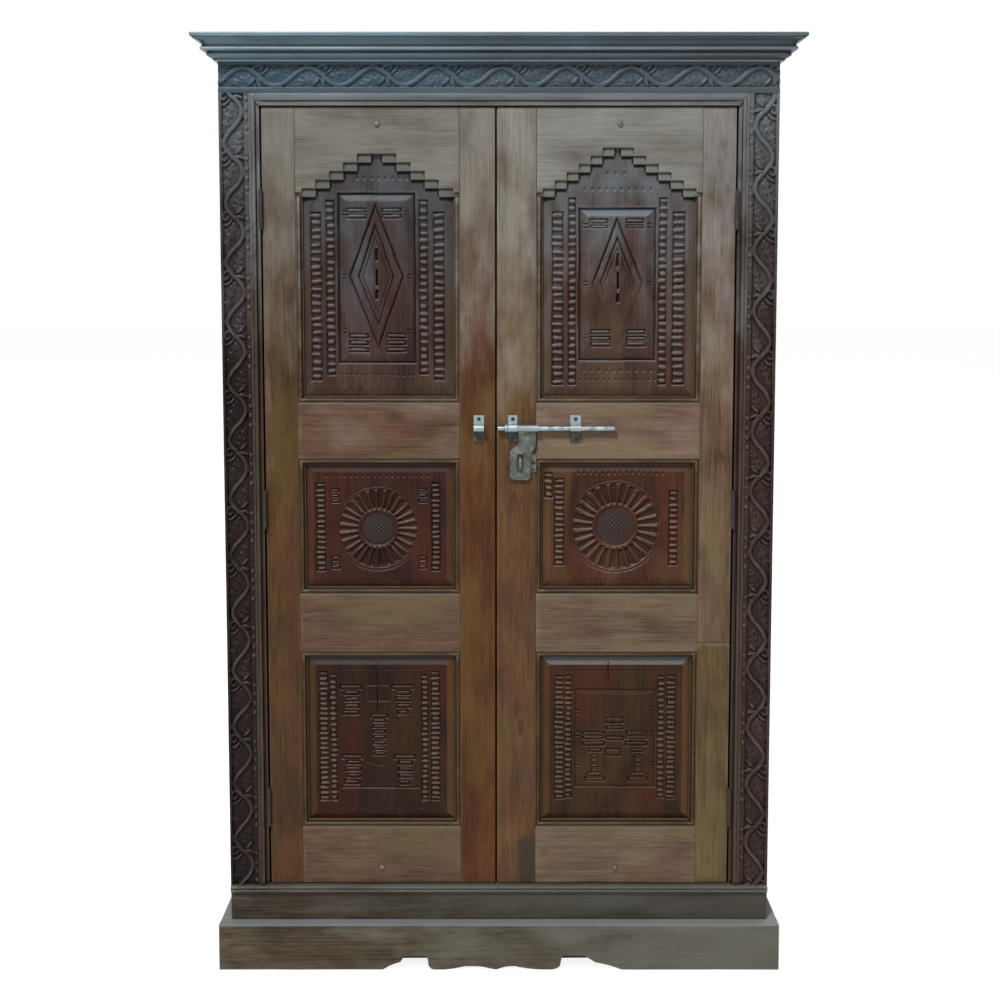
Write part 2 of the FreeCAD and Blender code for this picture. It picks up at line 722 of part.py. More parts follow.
def panel(side, name, foot, top, raised_top):
    """A board held in the grooves, with a raised field whose edges are bevelled."""
    left, right = BAY[side]
    reach = "(groove_depth - panel_clearance)"
    label = f"{name}_panel_{side}"
    x = (f"({left} - {reach})", f"({right} + {reach})")
    board = box(f"{label}_board", x, (GROOVE_FRONT, GROOVE_BACK), (f"({foot} - {reach})", top))
    edge = (f"({left} + beading_width)", f"({right} - beading_width)")
    inner = (f"({edge[0]} + panel_bevel_width)", f"({edge[1]} - panel_bevel_width)")
    z = (f"({foot} + beading_width)", raised_top[0])
    z_inner = (f"({z[0]} + panel_bevel_width)", raised_top[1])
    field = wedge(f"{label}_field", inner, (FIELD_FACE, GROOVE_FRONT), z_inner, edge, z)
    return joined(label, [board, field])


def strip(label, x, z, inward, length, mitres):
    """One length of sloped beading, whose thick edge lies against the frame of the door."""
    front = FreeCAD.Vector(0, -1, 0)
    inside = FreeCAD.Vector(*inward)
    turn = FreeCAD.Rotation(front, inside, front.cross(inside), "XYZ")
    half = f"({length} / 2)"
    start = f"(beading_width * {mitres[0]} - {half})"
    end = f"({half} - beading_width * {mitres[1]})"
    piece = wedge(label, ("0", "(groove_setback - beading_recess)"), ("0", "beading_width"),
                  (opposite(half), half), ("0", "beading_inner_thickness"), (start, end))
    place(piece, x, GROOVE_FRONT, z, turn)
    return piece


def beading(side):
    """Sloped strips round each panel, mitred at the corners. The arch closes the upper one."""
    left, right = BAY[side]
    middle = f"(({left} + {right}) / 2)"
    width = f"({right} - {left})"
    strips = []
    for name, foot, top in (
        ("lower", RAIL_TOP["bottom"], RAIL_FOOT["lower"]),
        ("middle", RAIL_TOP["lower"], RAIL_FOOT["lock"]),
        ("upper", RAIL_TOP["lock"], RAIL_FOOT["top"]),
    ):
        label = f"beading_{name}_{side}"
        centre, length = f"(({foot} + {top}) / 2)", f"({top} - {foot})"
        closed = 0 if name == "upper" else 1
        strips.append(strip(f"{label}_foot", middle, foot, (0, 0, 1), width, (1, 1)))
        strips.append(strip(f"{label}_west", left, centre, (1, 0, 0), length, (1, closed)))
        strips.append(strip(f"{label}_east", right, centre, (-1, 0, 0), length, (closed, 1)))
        if closed:
            strips.append(strip(f"{label}_head", middle, top, (0, 0, -1), width, (1, 1)))
    return group(f"beading_{side}", strips)


PEG_HEIGHT = {
    "top": f"({DOOR_TOP} - peg_drop)",
    "bottom": f"({DOOR_FOOT} + peg_drop)",
}


def peg_place(side, name):
    left, right = BAY[side]
    return f"(({left} + {right}) / 2)", PEG_HEIGHT[name]


def peg_hole(side, name):
    x, z = peg_place(side, name)
    depth = "(peg_length - peg_rise + overrun)"
    return cylinder(f"peg_hole_{side}_{name}", "Y", "(peg_radius + peg_fit)", depth,
                    x, f"({DOOR_FACE} - overrun)", z)


def peg(side, name):
    x, z = peg_place(side, name)
    return cylinder(f"peg_{side}_{name}", "Y", "peg_radius", "peg_length", x, f"({DOOR_FACE} - peg_rise)", z)


def door(side, sign):
    hanging, meeting = HANGING[side], MEETING[side]
    left, right = BAY[side]
    leaf_holes = leaf_screw_holes("door", sign)
    if sign < 0:
        hinge_x, meeting_x = (hanging, left), (right, meeting)
    else:
        hinge_x, meeting_x = (right, hanging), (meeting, left)
    node(f"hinge_stile_{side}", stile(f"hinge_stile_{side}_solid", hinge_x, -sign, leaf_holes))
    latch_side = stile(f"meeting_stile_{side}_solid", meeting_x, sign, latch_holes(side, "stile"))
    node(f"meeting_stile_{side}", latch_side)
    node(f"top_rail_{side}", top_rail(side))
    lock = rail(f"lock_rail_{side}_solid", side, "lock", True, True, latch_holes(side, "rail"))
    node(f"lock_rail_{side}", lock)
    node(f"lower_rail_{side}", rail(f"lower_rail_{side}_solid", side, "lower", True, True))
    foot = rail(f"bottom_rail_{side}_solid", side, "bottom", True, False, [peg_hole(side, "bottom")])
    node(f"bottom_rail_{side}", foot)
    reach = "(groove_depth - panel_clearance)"
    for name, below, above in (("lower", "bottom", "lower"), ("middle", "lower", "lock")):
        top = RAIL_FOOT[above]
        edge = f"({top} - beading_width)"
        raised = (edge, f"({edge} - panel_bevel_width)")
        node(f"{name}_panel_{side}", panel(side, name, RAIL_TOP[below], f"({top} + {reach})", raised))
    top = f"({RAIL_FOOT['top']} + {side}_arch_height + {reach})"
    node(f"upper_panel_{side}", panel(side, "upper", RAIL_TOP["lock"], top, (top, top)))
    node(f"panel_beading_{side}", beading(side))
    node(f"rail_pegs_{side}", group(f"pegs_{side}", [peg(side, "top"), peg(side, "bottom")]))


# Hinges

HINGES = {
    "lower": f"({DOOR_FOOT} + hinge_lower_rise)",
    "middle": f"({RAIL_FOOT['lock']} - hinge_middle_drop)",
    "upper": f"({DOOR_TOP} - hinge_upper_drop)",
}
PIN_X = f"({OPENING_SIDE} - door_side_gap / 2)"
PIN_Y = f"({DOOR_FACE} - knuckle_setout)"
KNUCKLE = "(hinge_height / 3)"


def leaf_box(label, sign, carrier, y, z):
    """A slab of a hinge leaf, against the jamb or against the door's edge."""
    if carrier == "frame":
        x = across(sign, f"({OPENING_SIDE} - leaf_thickness)", OPENING_SIDE)
    else:
        edge = f"({OPENING_SIDE} - door_side_gap)"
        x = across(sign, edge, f"({edge} + leaf_thickness)")
    return box(label, x, y, z)


def leaf(label, sign, carrier, name):
    """One leaf of a butt hinge: a plate and the knuckles that wrap the pin."""
    foot = f"({HINGES[name]} - hinge_height / 2)"
    plate_front = f"({PIN_Y} + knuckle_setout)"
    plate = leaf_box(f"{label}_plate", sign, carrier, (plate_front, f"({plate_front} + leaf_width)"),
                     (foot, f"({foot} + hinge_height)"))
    pieces = [plate]
    if carrier == "frame":
        spans = [("0", f"({KNUCKLE} - knuckle_gap / 2)"),
                 (f"({KNUCKLE} * 2 + knuckle_gap / 2)", "hinge_height")]
    else:
        spans = [(f"({KNUCKLE} + knuckle_gap / 2)", f"({KNUCKLE} * 2 - knuckle_gap / 2)")]
    pin_x = f"({sign} * {PIN_X})"
    for index, (start, end) in enumerate(spans):
        z = (f"({foot} + {start})", f"({foot} + {end})")
        pieces.append(cylinder(f"{label}_knuckle_{index}", "Z", "knuckle_radius", f"({end} - {start})",
                               pin_x, PIN_Y, z[0]))
        wrap = (f"({PIN_Y} + pin_radius + pin_fit)", plate_front)
        pieces.append(leaf_box(f"{label}_wrap_{index}", sign, carrier, wrap, z))
    bore = cylinder(f"{label}_bore", "Z", "(pin_radius + pin_fit)", "(hinge_height + overrun * 2)",
                    pin_x, PIN_Y, f"({foot} - overrun)")
    holes = leaf_screws(f"{label}_hole", sign, carrier, name, True)
    return cut(f"{label}_bored", joined(label, pieces), [bore] + holes)


def leaf_screws(label, sign, carrier, name, as_hole):
    """Three countersunk screws in one leaf, or the holes that take them."""
    fit = " + screw_fit" if as_hole else ""
    direction = sign if carrier == "frame" else -sign
    face = f"({OPENING_SIDE} - leaf_thickness)"
    if carrier == "door":
        face = f"({OPENING_SIDE} - door_side_gap + leaf_thickness)"
    y = f"({PIN_Y} + knuckle_setout + leaf_screw_setback)"
    screws = []
    for index in (-1, 0, 1):
        z = f"({HINGES[name]} + leaf_screw_spacing * {index})"
        shank = cylinder(f"{label}_shank_{index}", "X", f"(leaf_screw_radius{fit})",
                         f"(leaf_screw_length{fit})", f"({sign} * {face})", y, z)
        head = doc.addObject("Part::Cone", f"{label}_head")
        bind(head, Radius1=f"(leaf_screw_head_radius{fit})", Radius2=f"(leaf_screw_radius{fit})",
             Height="leaf_thickness")
        turn = TURN["X"] if direction > 0 else FreeCAD.Rotation(FreeCAD.Vector(0, 1, 0), -90)
        place(head, f"({sign} * {face})", y, z, turn)
        if direction < 0:
            place(shank, f"({sign} * {face})", y, z, turn)
        screws.append(joined(f"{label}_screw_{index}", [shank, head]))
    return screws


def leaf_screw_holes(carrier, sign):
    """The screw holes of all hinges on one jamb or one hanging stile."""
    holes = []
    for name in HINGES:
        holes += leaf_screws(f"{carrier}_pilot_{name}_{sign + 1}", sign, carrier, name, True)
    return holes


def hinges():
    frame_leaves, pins, frame_screws = [], [], []
    for sign in (-1, 1):
        for name in HINGES:
            label = f"hinge_{name}_{sign + 1}"
            frame_leaves.append(leaf(f"{label}_frame", sign, "frame", name))
            frame_screws += leaf_screws(f"{label}_frame_screw", sign, "frame", name, False)
            foot = f"({HINGES[name]} - hinge_height / 2)"
            x = f"({sign} * {PIN_X})"
            pins.append(joined(f"{label}_pin", [
                cylinder(f"{label}_rod", "Z", "pin_radius", "(hinge_height + pin_tip_height)",
                         x, PIN_Y, foot),
                cylinder(f"{label}_tip", "Z", "pin_tip_radius", "pin_tip_height", x, PIN_Y,
                         f"({foot} + hinge_height)"),
            ]))
    node("hinge_frame_leaves", group("frame_leaves", frame_leaves))
    node("hinge_pins", group("pins", pins))
    node("hinge_frame_screws", group("frame_screws", frame_screws))
    for side, sign in (("left", -1), ("right", 1)):
        leaves, screws = [], []
        for name in HINGES:
            label = f"hinge_{name}_{side}"
            leaves.append(leaf(f"{label}_door", sign, "door", name))
            screws += leaf_screws(f"{label}_door_screw", sign, "door", name, False)
        node(f"hinge_door_leaves_{side}", group(f"door_leaves_{side}", leaves))
        for carrier in ("stile", "rail"):
            for index, (x, z, seat) in enumerate(latch_screw_places(side, carrier)):
                screws.append(latch_screw(f"latch_screw_{side}_{carrier}_{index}", x, z, seat))
        node(f"door_screws_{side}", group(f"screws_{side}", screws))


# Bolt and hasp latch

BOLT_Y = f"({DOOR_FACE} - bolt_standoff)"
BOLT_HEIGHT = f"({RAIL_FOOT['lock']} + bolt_rise)"
SLEEVE_BORE = "(bolt_radius + slide_fit)"
SLEEVE_OUTER = f"({SLEEVE_BORE} + sleeve_wall)"
EYE_HEIGHT = f"({BOLT_HEIGHT} - eye_drop)"


def latch_screw_places(side, carrier):
    """Middle, height and seat thickness of each screw of the latch in one piece of a door."""
    strap_middle = f"({BOLT_HEIGHT} - strap_drop + strap_height / 2)"
    upper, lower = f"({strap_middle} + strap_screw_spread)", f"({strap_middle} - strap_screw_spread)"
    if side == "left":
        straps = ["keeper_place"] if carrier == "stile" else []
    else:
        straps = ["middle_guide_place"] if carrier == "stile" else ["right_guide_place"]
    places = [(x, z, "strap_thickness") for x in straps for z in (upper, lower)]
    if side == "right" and carrier == "stile":
        for x in ("(eye_plate_start + eye_screw_inset)", "(eye_plate_end - eye_screw_inset)"):
            places.append((x, EYE_HEIGHT, "eye_plate_thickness"))
    return places


def latch_screw(label, x, z, seat):
    """A round-headed screw through a strap into the door."""
    return joined(label, [
        cylinder(f"{label}_shank", "Y", "latch_screw_radius", f"(latch_screw_length + {seat})", x,
                 f"({DOOR_FACE} - {seat})", z),
        cylinder(f"{label}_head", "Y", "latch_screw_head_radius", "latch_screw_head_height", x,
                 f"({DOOR_FACE} - {seat} - latch_screw_head_height)", z),
    ])


def latch_hole(label, x, z):
    depth = "(latch_screw_length + overrun + screw_fit)"
    return cylinder(label, "Y", "(latch_screw_radius + screw_fit)", depth,
                    x, f"({DOOR_FACE} - overrun)", z)


def latch_holes(side, carrier):
    places = latch_screw_places(side, carrier)
    return [latch_hole(f"latch_pilot_{side}_{carrier}_{i}", x, z) for i, (x, z, seat) in enumerate(places)]


def strap(label, middle, width, bore):
    """A bent strap: two feet against the door, and an arch over the bolt or the sleeve."""
    start, end = f"({middle} - {width} / 2)", f"({middle} + {width} / 2)"
    foot = f"({BOLT_HEIGHT} - strap_drop)"
    z = (foot, f"({foot} + strap_height)")
    outer = f"({bore} + strap_thickness)"
    legs = (f"({BOLT_HEIGHT} - {outer})", f"({BOLT_HEIGHT} + {outer})")
    solid = joined(label, [
        box(f"{label}_feet", (start, end), (f"({DOOR_FACE} - strap_thickness)", DOOR_FACE), z),
        box(f"{label}_legs", (start, end), (BOLT_Y, DOOR_FACE), legs),
        cylinder(f"{label}_arch", "X", outer, width, start, BOLT_Y, BOLT_HEIGHT),
    ])
    past = (f"({start} - overrun)", f"({end} + overrun)")
    inside = (f"({BOLT_HEIGHT} - {bore})", f"({BOLT_HEIGHT} + {bore})")
    tools = [
        cylinder(f"{label}_bore", "X", bore, f"({past[1]} - {past[0]})", past[0], BOLT_Y, BOLT_HEIGHT),
        box(f"{label}_channel", past, (BOLT_Y, f"({DOOR_FACE} + overrun)"), inside),
        # The arch is trimmed where it would sink into the door.
        box(f"{label}_behind", past, (DOOR_FACE, f"({DOOR_FACE} + overrun)"), z),
    ]
    for sign in (-1, 1):
        height = f"({foot} + strap_height / 2 + {sign} * strap_screw_spread)"
        tools.append(latch_hole(f"{label}_hole_{sign + 1}", middle, height))
    return cut(f"{label}_bored", solid, tools)


def hasp():
    """A sleeve that turns on the bolt, and the slotted plate that hangs from it."""
    length = "(sleeve_end - sleeve_start)"
    sleeve = cylinder("sleeve", "X", SLEEVE_OUTER, length, "sleeve_start", BOLT_Y, BOLT_HEIGHT)
    flange = cylinder("sleeve_flange", "X", f"({SLEEVE_OUTER} + sleeve_flange_wall)", "sleeve_flange_width",
                      "sleeve_start", BOLT_Y, BOLT_HEIGHT)
    points = [
        ("hasp_neck_start", "0"), ("hasp_neck_start", opposite("hasp_neck_height")),
        ("(hasp_plate_start + hasp_corner)", opposite("hasp_shoulder")),
        ("hasp_plate_start", "(-hasp_shoulder - hasp_corner)"),
        ("hasp_plate_start", "(hasp_corner - hasp_drop)"),
        ("(hasp_plate_start + hasp_corner)", opposite("hasp_drop")),
        ("(hasp_plate_end - hasp_corner)", opposite("hasp_drop")),
        ("hasp_plate_end", "(hasp_corner - hasp_drop)"),
        ("hasp_plate_end", "(-hasp_shoulder - hasp_corner * 2)"),
        ("hasp_neck_end", "(hasp_corner - hasp_shoulder)"), ("hasp_neck_end", "0"),
    ]
    y = f"({BOLT_Y} + hasp_setback + hasp_thickness)"
    plate = outline("hasp_plate", points, "hasp_thickness", FRONT_VIEW, y=y, z=BOLT_HEIGHT)
    bore = cylinder("sleeve_bore", "X", SLEEVE_BORE, f"({length} + overrun * 2)", "(sleeve_start - overrun)",
                    BOLT_Y, BOLT_HEIGHT)
    slot = box("hasp_slot", ("hasp_slot_start", "hasp_slot_end"),
               (f"({y} - hasp_thickness - overrun)", f"({y} + overrun)"),
               (f"({BOLT_HEIGHT} - hasp_slot_top - hasp_slot_length)", f"({BOLT_HEIGHT} - hasp_slot_top)"))
    return cut("hasp_solid", joined("hasp_blank", [sleeve, flange, plate]), [bore, slot])


def padlock_eye():
    """A flat staple that stands out through the hasp's slot, on its own plate."""
    middle = "((hasp_slot_start + hasp_slot_end) / 2)"
    z = (f"({EYE_HEIGHT} - eye_plate_height / 2)", f"({EYE_HEIGHT} + eye_plate_height / 2)")
    width = ("eye_plate_start", "eye_plate_end")
    plate = box("eye_plate", width, (f"({DOOR_FACE} - eye_plate_thickness)", DOOR_FACE), z)
    x = (f"({middle} - eye_thickness / 2)", f"({middle} + eye_thickness / 2)")
    arch = cylinder("eye_arch", "X", "(eye_width / 2)", "eye_thickness", x[0],
                    f"({DOOR_FACE} - eye_reach + eye_width / 2)", EYE_HEIGHT)
    web = box("eye_web", x, (f"({DOOR_FACE} - eye_reach + eye_width / 2)", DOOR_FACE),
              (f"({EYE_HEIGHT} - eye_width / 2)", f"({EYE_HEIGHT} + eye_width / 2)"))
    hole = cylinder("eye_hole", "X", "eye_hole_radius", "(eye_thickness + overrun * 2)",
                    f"({x[0]} - overrun)", f"({DOOR_FACE} - eye_hole_reach)", EYE_HEIGHT)
    behind = box("eye_behind", width, (DOOR_FACE, f"({DOOR_FACE} + eye_reach)"), z)
    places = [spot for spot in latch_screw_places("right", "stile") if spot[2] == "eye_plate_thickness"]
    holes = [latch_hole(f"eye_screw_hole_{i}", spot[0], spot[1]) for i, spot in enumerate(places)]
    return cut("eye_solid", joined("eye_blank", [plate, arch, web]), [hole, behind] + holes)


def latch():
    thin, thick = SLEEVE_BORE, f"({SLEEVE_OUTER} + slide_fit)"
    node("latch_keeper", strap("keeper", "keeper_place", "keeper_width", "(bolt_radius + keeper_fit)"))
    node("latch_guides", group("guides", [
        strap("middle_guide", "middle_guide_place", "middle_guide_width", thick),
        strap("right_guide", "right_guide_place", "right_guide_width", thin),
    ]))
    bolt = cylinder("bolt", "X", "bolt_radius", "bolt_length", "(bolt_thrown_end + bolt_travel)",
                    BOLT_Y, BOLT_HEIGHT)
    node("latch_bolt", bolt)
    node("latch_hasp", hasp())
    node("padlock_eye", padlock_eye())


# Build, check and write

def check_model():
    """Stops if any object failed or any sub-part isn't a sound solid."""
    broken = [item.Name for item in doc.Objects if "Invalid" in item.State or "Error" in item.State]
    if broken:
        raise RuntimeError(f"failed objects: {broken}")
    for piece in nodes:
        if piece.Shape.isNull() or not piece.Shape.isValid() or not piece.Shape.Solids:
            raise RuntimeError(f"unsound sub-part: {piece.Label}")


def write_parts():
    os.makedirs("parts", exist_ok=True)
    for piece in nodes:
        piece.Shape.exportStep(f"parts/{piece.Label}.step")


carcass()
plinth()
frame()
cornice()
for side, sign in (("left", -1), ("right", 1)):
    door(side, sign)
hinges()
latch()
doc.recompute()
check_model()
write_parts()
print(len(nodes), "nodes,", sum(len(piece.Shape.Solids) for piece in nodes), "solids")
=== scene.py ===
import math
from functools import partial
import bmesh
import bpy
import numpy as np
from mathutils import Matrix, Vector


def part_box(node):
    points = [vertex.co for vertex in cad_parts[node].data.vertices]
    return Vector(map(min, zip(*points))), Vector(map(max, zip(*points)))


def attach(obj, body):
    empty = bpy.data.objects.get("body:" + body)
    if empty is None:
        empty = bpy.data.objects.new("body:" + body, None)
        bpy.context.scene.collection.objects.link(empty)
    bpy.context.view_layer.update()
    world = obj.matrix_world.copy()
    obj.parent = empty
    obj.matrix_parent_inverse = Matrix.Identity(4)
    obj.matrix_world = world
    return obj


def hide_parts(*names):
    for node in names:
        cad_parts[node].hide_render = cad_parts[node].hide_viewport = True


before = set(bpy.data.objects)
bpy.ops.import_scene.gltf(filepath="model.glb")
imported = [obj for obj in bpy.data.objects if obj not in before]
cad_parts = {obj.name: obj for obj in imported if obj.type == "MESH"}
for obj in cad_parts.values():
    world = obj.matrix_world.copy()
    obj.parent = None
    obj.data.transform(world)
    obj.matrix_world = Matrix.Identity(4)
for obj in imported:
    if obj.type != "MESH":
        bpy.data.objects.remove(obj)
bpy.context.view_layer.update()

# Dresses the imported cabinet: carved panels and vine frame, worn boards, mouldings, latch, light and camera.
# Lengths are in millimetres until a mesh is made.

mm = 0.001
scene = bpy.context.scene
sides = ("left", "right")
chance = np.random.default_rng(11)
noiseTable = np.random.default_rng(7).uniform(-1, 1, 4096)
print("frame loaded:", len(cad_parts), "nodes")


def newObject(name, data):
    # Shows a mesh, a lamp or a camera in the scene
    made = bpy.data.objects.new(name, data)
    scene.collection.objects.link(made)
    return made


def edgesOf(node):
    # A node's lowest and highest corner, in mm
    return [np.array(corner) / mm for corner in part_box(node)]


# Camera: the photograph's own view, found from the lines of the cabinet

view = {
    "distance": 2540,      # from the doors' frame to the lens
    "height": 1450,
    "tilt": -4.3,          # degrees up from level
    "lens": 45.3, "shiftX": 0.001, "shiftY": -0.135,
    "sensor": 36, "kitSensor": 31,
}
faceY = edgesOf("frame_head")[0][1]
lens = bpy.data.cameras.new("photoCamera")
lens.sensor_fit, lens.lens = "VERTICAL", view["lens"]
lens.sensor_height, lens.sensor_width = view["sensor"], view["kitSensor"]
lens.shift_x, lens.shift_y = view["shiftX"], view["shiftY"]
scene.camera = newObject("photoCamera", lens)
scene.camera.location = (0, (faceY - view["distance"]) * mm, view["height"] * mm)
scene.camera.rotation_euler = (math.radians(90 + view["tilt"]), 0, 0)
scene.view_settings.view_transform = "Standard"


# Nodes, colours and materials

def linear(hexColour):
    # sRGB hex to linear: c/12.92 below 0.04045, else ((c + 0.055) / 1.055) to the power 2.4
    parts = [int(hexColour[i:i + 2], 16) / 255 for i in (1, 3, 5)]
    return [c / 12.92 if c <= 0.04045 else ((c + 0.055) / 1.055) ** 2.4 for c in parts] + [1.0]


def addNode(tree, kind, inputs=(), output=0, stops=(), **settings):
    # One node with its settings, its values or links and its ramp's stops, known by one of its outputs
    made = tree.nodes.new("ShaderNode" + kind)
    for key, value in settings.items():
        setattr(made, key, value)
    for key, value in dict(inputs).items():
        if isinstance(value, bpy.types.NodeSocket):
            tree.links.new(value, made.inputs[key])
        else:
            made.inputs[key].default_value = value
    for index, (place, colour) in enumerate(stops):
        ramp = made.color_ramp.elements
        stop = ramp[index] if index < 2 else ramp.new(place)
        stop.position, stop.color = place, colour
    return made.outputs[output] if made.outputs else None


def newMaterial(name):
    # An empty material, and the function that adds nodes to it
    material = bpy.data.materials.new(name)
    material.use_nodes = True
    material.node_tree.nodes.clear()
    return material, partial(addNode, material.node_tree)


def agedWood(name, look):
    # Old oiled hardwood, hand planed: long fibres and open pores and a cloudy tone. Painted grey towards the
    # top for the reflection of the light above, dusty with a painted sheen on faces that look up, rubbed pale
    # on its edges with painted highlights on carved ridges, and dark in its hollows, partly with wax and
    # grime and partly with painted shade.
    material, add = newMaterial(name)
    dark, mid, light, red, pale = [linear(tone) for tone in look["tones"].split()]
    place = add("TexCoord", output="Object")
    grain = add("Attribute", output="Vector", attribute_name="grain") if look["ownGrain"] else place

    def stored(label):
        # A value that the piece's points carry
        return add("Attribute", output="Fac", attribute_name=label)

    def pattern(alongFibre, acrossFibre, detail, roughness=0.55, distortion=0.0):
        # Noise whose grains have this size along and across the fibres, in mm
        scale = (1 / (alongFibre * mm), 1 / (acrossFibre * mm), 1 / (acrossFibre * mm))
        return add("TexNoise", {"Vector": add("Mapping", {"Vector": grain, "Scale": scale}), "Scale": 1.0,
                                "Detail": detail, "Roughness": roughness, "Distortion": distortion})

    def layer(factor, tone):
        # Lays a tone over the colour so far, as much as the factor says
        nonlocal colour
        tone = linear(look[tone]) if isinstance(tone, str) else tone
        colour = add("Mix", {0: factor, 6: colour, 7: tone}, 2, data_type="RGBA")

    def ranged(value, low, high, most=1.0):
        # From 0 at low to the most at high, eased between
        return add("MapRange", {"Value": value, "From Min": low, "From Max": high, "To Max": most},
                   interpolation_type="SMOOTHSTEP")

    def maths(operation, first, second=0.5):
        # One sum of two values
        return add("Math", {0: first, 1: second}, operation=operation)

    plus, less, times = (partial(maths, operation) for operation in ("ADD", "SUBTRACT", "MULTIPLY"))
    fibre = pattern(150, 3.4, 5, 0.65)          # fibres about 3 mm apart, drawn coarser than real pores
    rings = maths("SINE", times(pattern(520, 40, 2, 0.5, 0.8), 60.0))       # broad growth figure
    cloud = pattern(150, 70, 4, 0.62)           # uneven old finish
    tint = pattern(260, 90, 2, 0.5)             # redder and yellower areas
    uneven = less(cloud, 0.5)
    tone = plus(plus(times(fibre, 0.42), times(rings, 0.03)), times(cloud, 0.58))
    colour = add("ValToRGB", {"Fac": tone}, stops=[(0.34, dark), (0.68, light), (0.5, mid)])
    layer(ranged(tint, 0.49, 0.64, look["redAmount"]), red)
    layer(ranged(tint, 0.48, 0.34, look["paleAmount"]), pale)
    pores = ranged(pattern(24, 1.2, 2, 0.5), 0.58, 0.70, 0.5)
    layer(pores, dark)
    spread = add("Mapping", {"Vector": grain, "Scale": (3.4, 9.5, 9.5)})
    knots = add("TexVoronoi", {"Vector": spread, "Scale": 1.0})
    layer(ranged(knots, 0.10, 0.03, 0.75), dark)
    slanted = add("Mapping", {"Vector": grain, "Rotation": (0, 0, 0.35), "Scale": (24, 520, 520)})
    scratches = ranged(add("TexNoise", {"Vector": slanted, "Scale": 1.0, "Detail": 1.0}), 0.66, 0.72, 0.5)
    layer(times(scratches, ranged(pattern(60, 40, 1), 0.5, 0.66)), light)
    # Painted highlight on the panels' side slopes, stronger on the east one, as light from the left gives
    layer(stored("bare"), "bare")

    height, across = (add("SeparateXYZ", {"Vector": place}, axis) for axis in "ZX")
    # Painted reflection of the light above: the wood turns grey towards the top
    sheenGreying = ranged(plus(height, uneven), look["greyFrom"] * mm, look["greyTo"] * mm, look["greyAmount"])
    grey = linear(look["grey"])
    dim, bright = ([value * share for value in grey[:3]] + [1] for share in (0.72, 1.3))
    layer(sheenGreying, add("ValToRGB", {"Fac": tone}, stops=[(0.36, dim), (0.66, bright), (0.5, grey)]))
    if "rightTint" in look:
        layer(ranged(plus(across, times(uneven, 1.4)), -0.5, 0.5, look["rightAmount"]), "rightTint")
    facing = add("SeparateXYZ", {"Vector": add("NewGeometry", output="Normal")}, "Z")
    edge, sunk = stored("edge"), stored("sunk")
    # Dust, and a painted sheen of the light above, on faces that look up, less in hollows
    upFacingDustAndSheen = times(ranged(facing, look["dustFrom"], look["dustTo"], look["dust"]), ranged(sunk, 0.5, 0.08))
    layer(upFacingDustAndSheen, "dustColour")
    # Grey patches and tones, and a painted grey sheen on the panels' top slopes and the carved stiles' upper
    # ends
    layer(stored("ash"), "ash")
    # Grime and painted shade: darker in creases and where a place lies below its surroundings, which also
    # holds painted shadows under the arch's steps and beside the beading
    hollow = maths("MAXIMUM", ranged(edge, -0.05, -0.6), ranged(sunk, 0.15, 1.0))
    layer(times(hollow, look["grimeAmount"]), "grime")
    # Rubbed pale on edges, and on the carved panels painted highlights on the upper sides of ridges
    rubbedAndHighlit = times(ranged(edge, 0.10, 0.65), times(times(pattern(9, 5, 3), 1.6), look["wear"]))
    layer(maths("MINIMUM", rubbedAndHighlit, 0.9), "worn")

    rough = plus(plus(look["rough"], times(cloud, 0.16)), times(hollow, 0.2))
    relief = plus(plus(times(fibre, 0.6), times(less(1.0, pores), 0.5)), times(cloud, 1.2))
    bump = add("Bump", {"Height": relief, "Strength": 0.5, "Distance": 0.0010})
    shader = add("BsdfPrincipled", {"Base Color": colour, "Roughness": rough, "Normal": bump,
                                    "Specular IOR Level": look["specular"]})
    add("OutputMaterial", {"Surface": shader})
    return material


def agedMetal(name, look):
    # Mild steel or iron, forged and drawn: dull and brown in blotches, and bright above a set height where an
    # upper tone is given
    material, add = newMaterial(name)
    dark, mid, bright, rust = [linear(tone) for tone in look["tones"].split()]
    place = add("TexCoord", output="Object")

    def pattern(size, detail):
        # Noise whose grains have this size, in mm
        inputs = {"Vector": place, "Scale": 1 / (size * mm), "Detail": detail, "Roughness": 0.6}
        return add("TexNoise", inputs)

    blotch, grit = pattern(14, 4), pattern(1.2, 2)
    shades = add("ValToRGB", {"Fac": blotch}, stops=[(0.32, dark), (0.72, bright), (0.5, mid)])
    rustFrom = look["rustFrom"]
    rusted = add("MapRange", {"Value": blotch, "From Min": rustFrom, "From Max": rustFrom - 0.12})
    colour = add("Mix", {0: rusted, 6: shades, 7: rust}, 2, data_type="RGBA")
    metallic = add("MapRange", {"Value": rusted, "To Min": look["metallic"], "To Max": 0.25})
    if "clean" in look:
        height = add("SeparateXYZ", {"Vector": place}, "Z")
        start, end = look["cleanFrom"] * mm, (look["cleanFrom"] + 5) * mm
        aboveHeight = add("MapRange", {"Value": height, "From Min": start, "From Max": end})
        colour = add("Mix", {0: aboveHeight, 6: colour, 7: linear(look["clean"])}, 2, data_type="RGBA")
    rough = add("MapRange", {"Value": grit, "From Min": 0.3, "From Max": 0.7, "To Min": look["rough"],
                             "To Max": look["rough"] + 0.2})
    bump = add("Bump", {"Height": grit, "Strength": 0.35, "Distance": 0.0004})
    shader = add("BsdfPrincipled", {"Base Color": colour, "Metallic": metallic, "Roughness": rough,
                                    "Normal": bump})
    add("OutputMaterial", {"Surface": shader})
    return material


looks, finishes = {}, {}


def newFinish(maker, name, like=None, **changes):
    # A wood or a metal that looks like another one but for these changes
    looks[name] = dict(looks.get(like, {}), **changes)
    finishes[name] = maker(name, looks[name])


newWood, newMetal = partial(newFinish, agedWood), partial(newFinish, agedMetal)
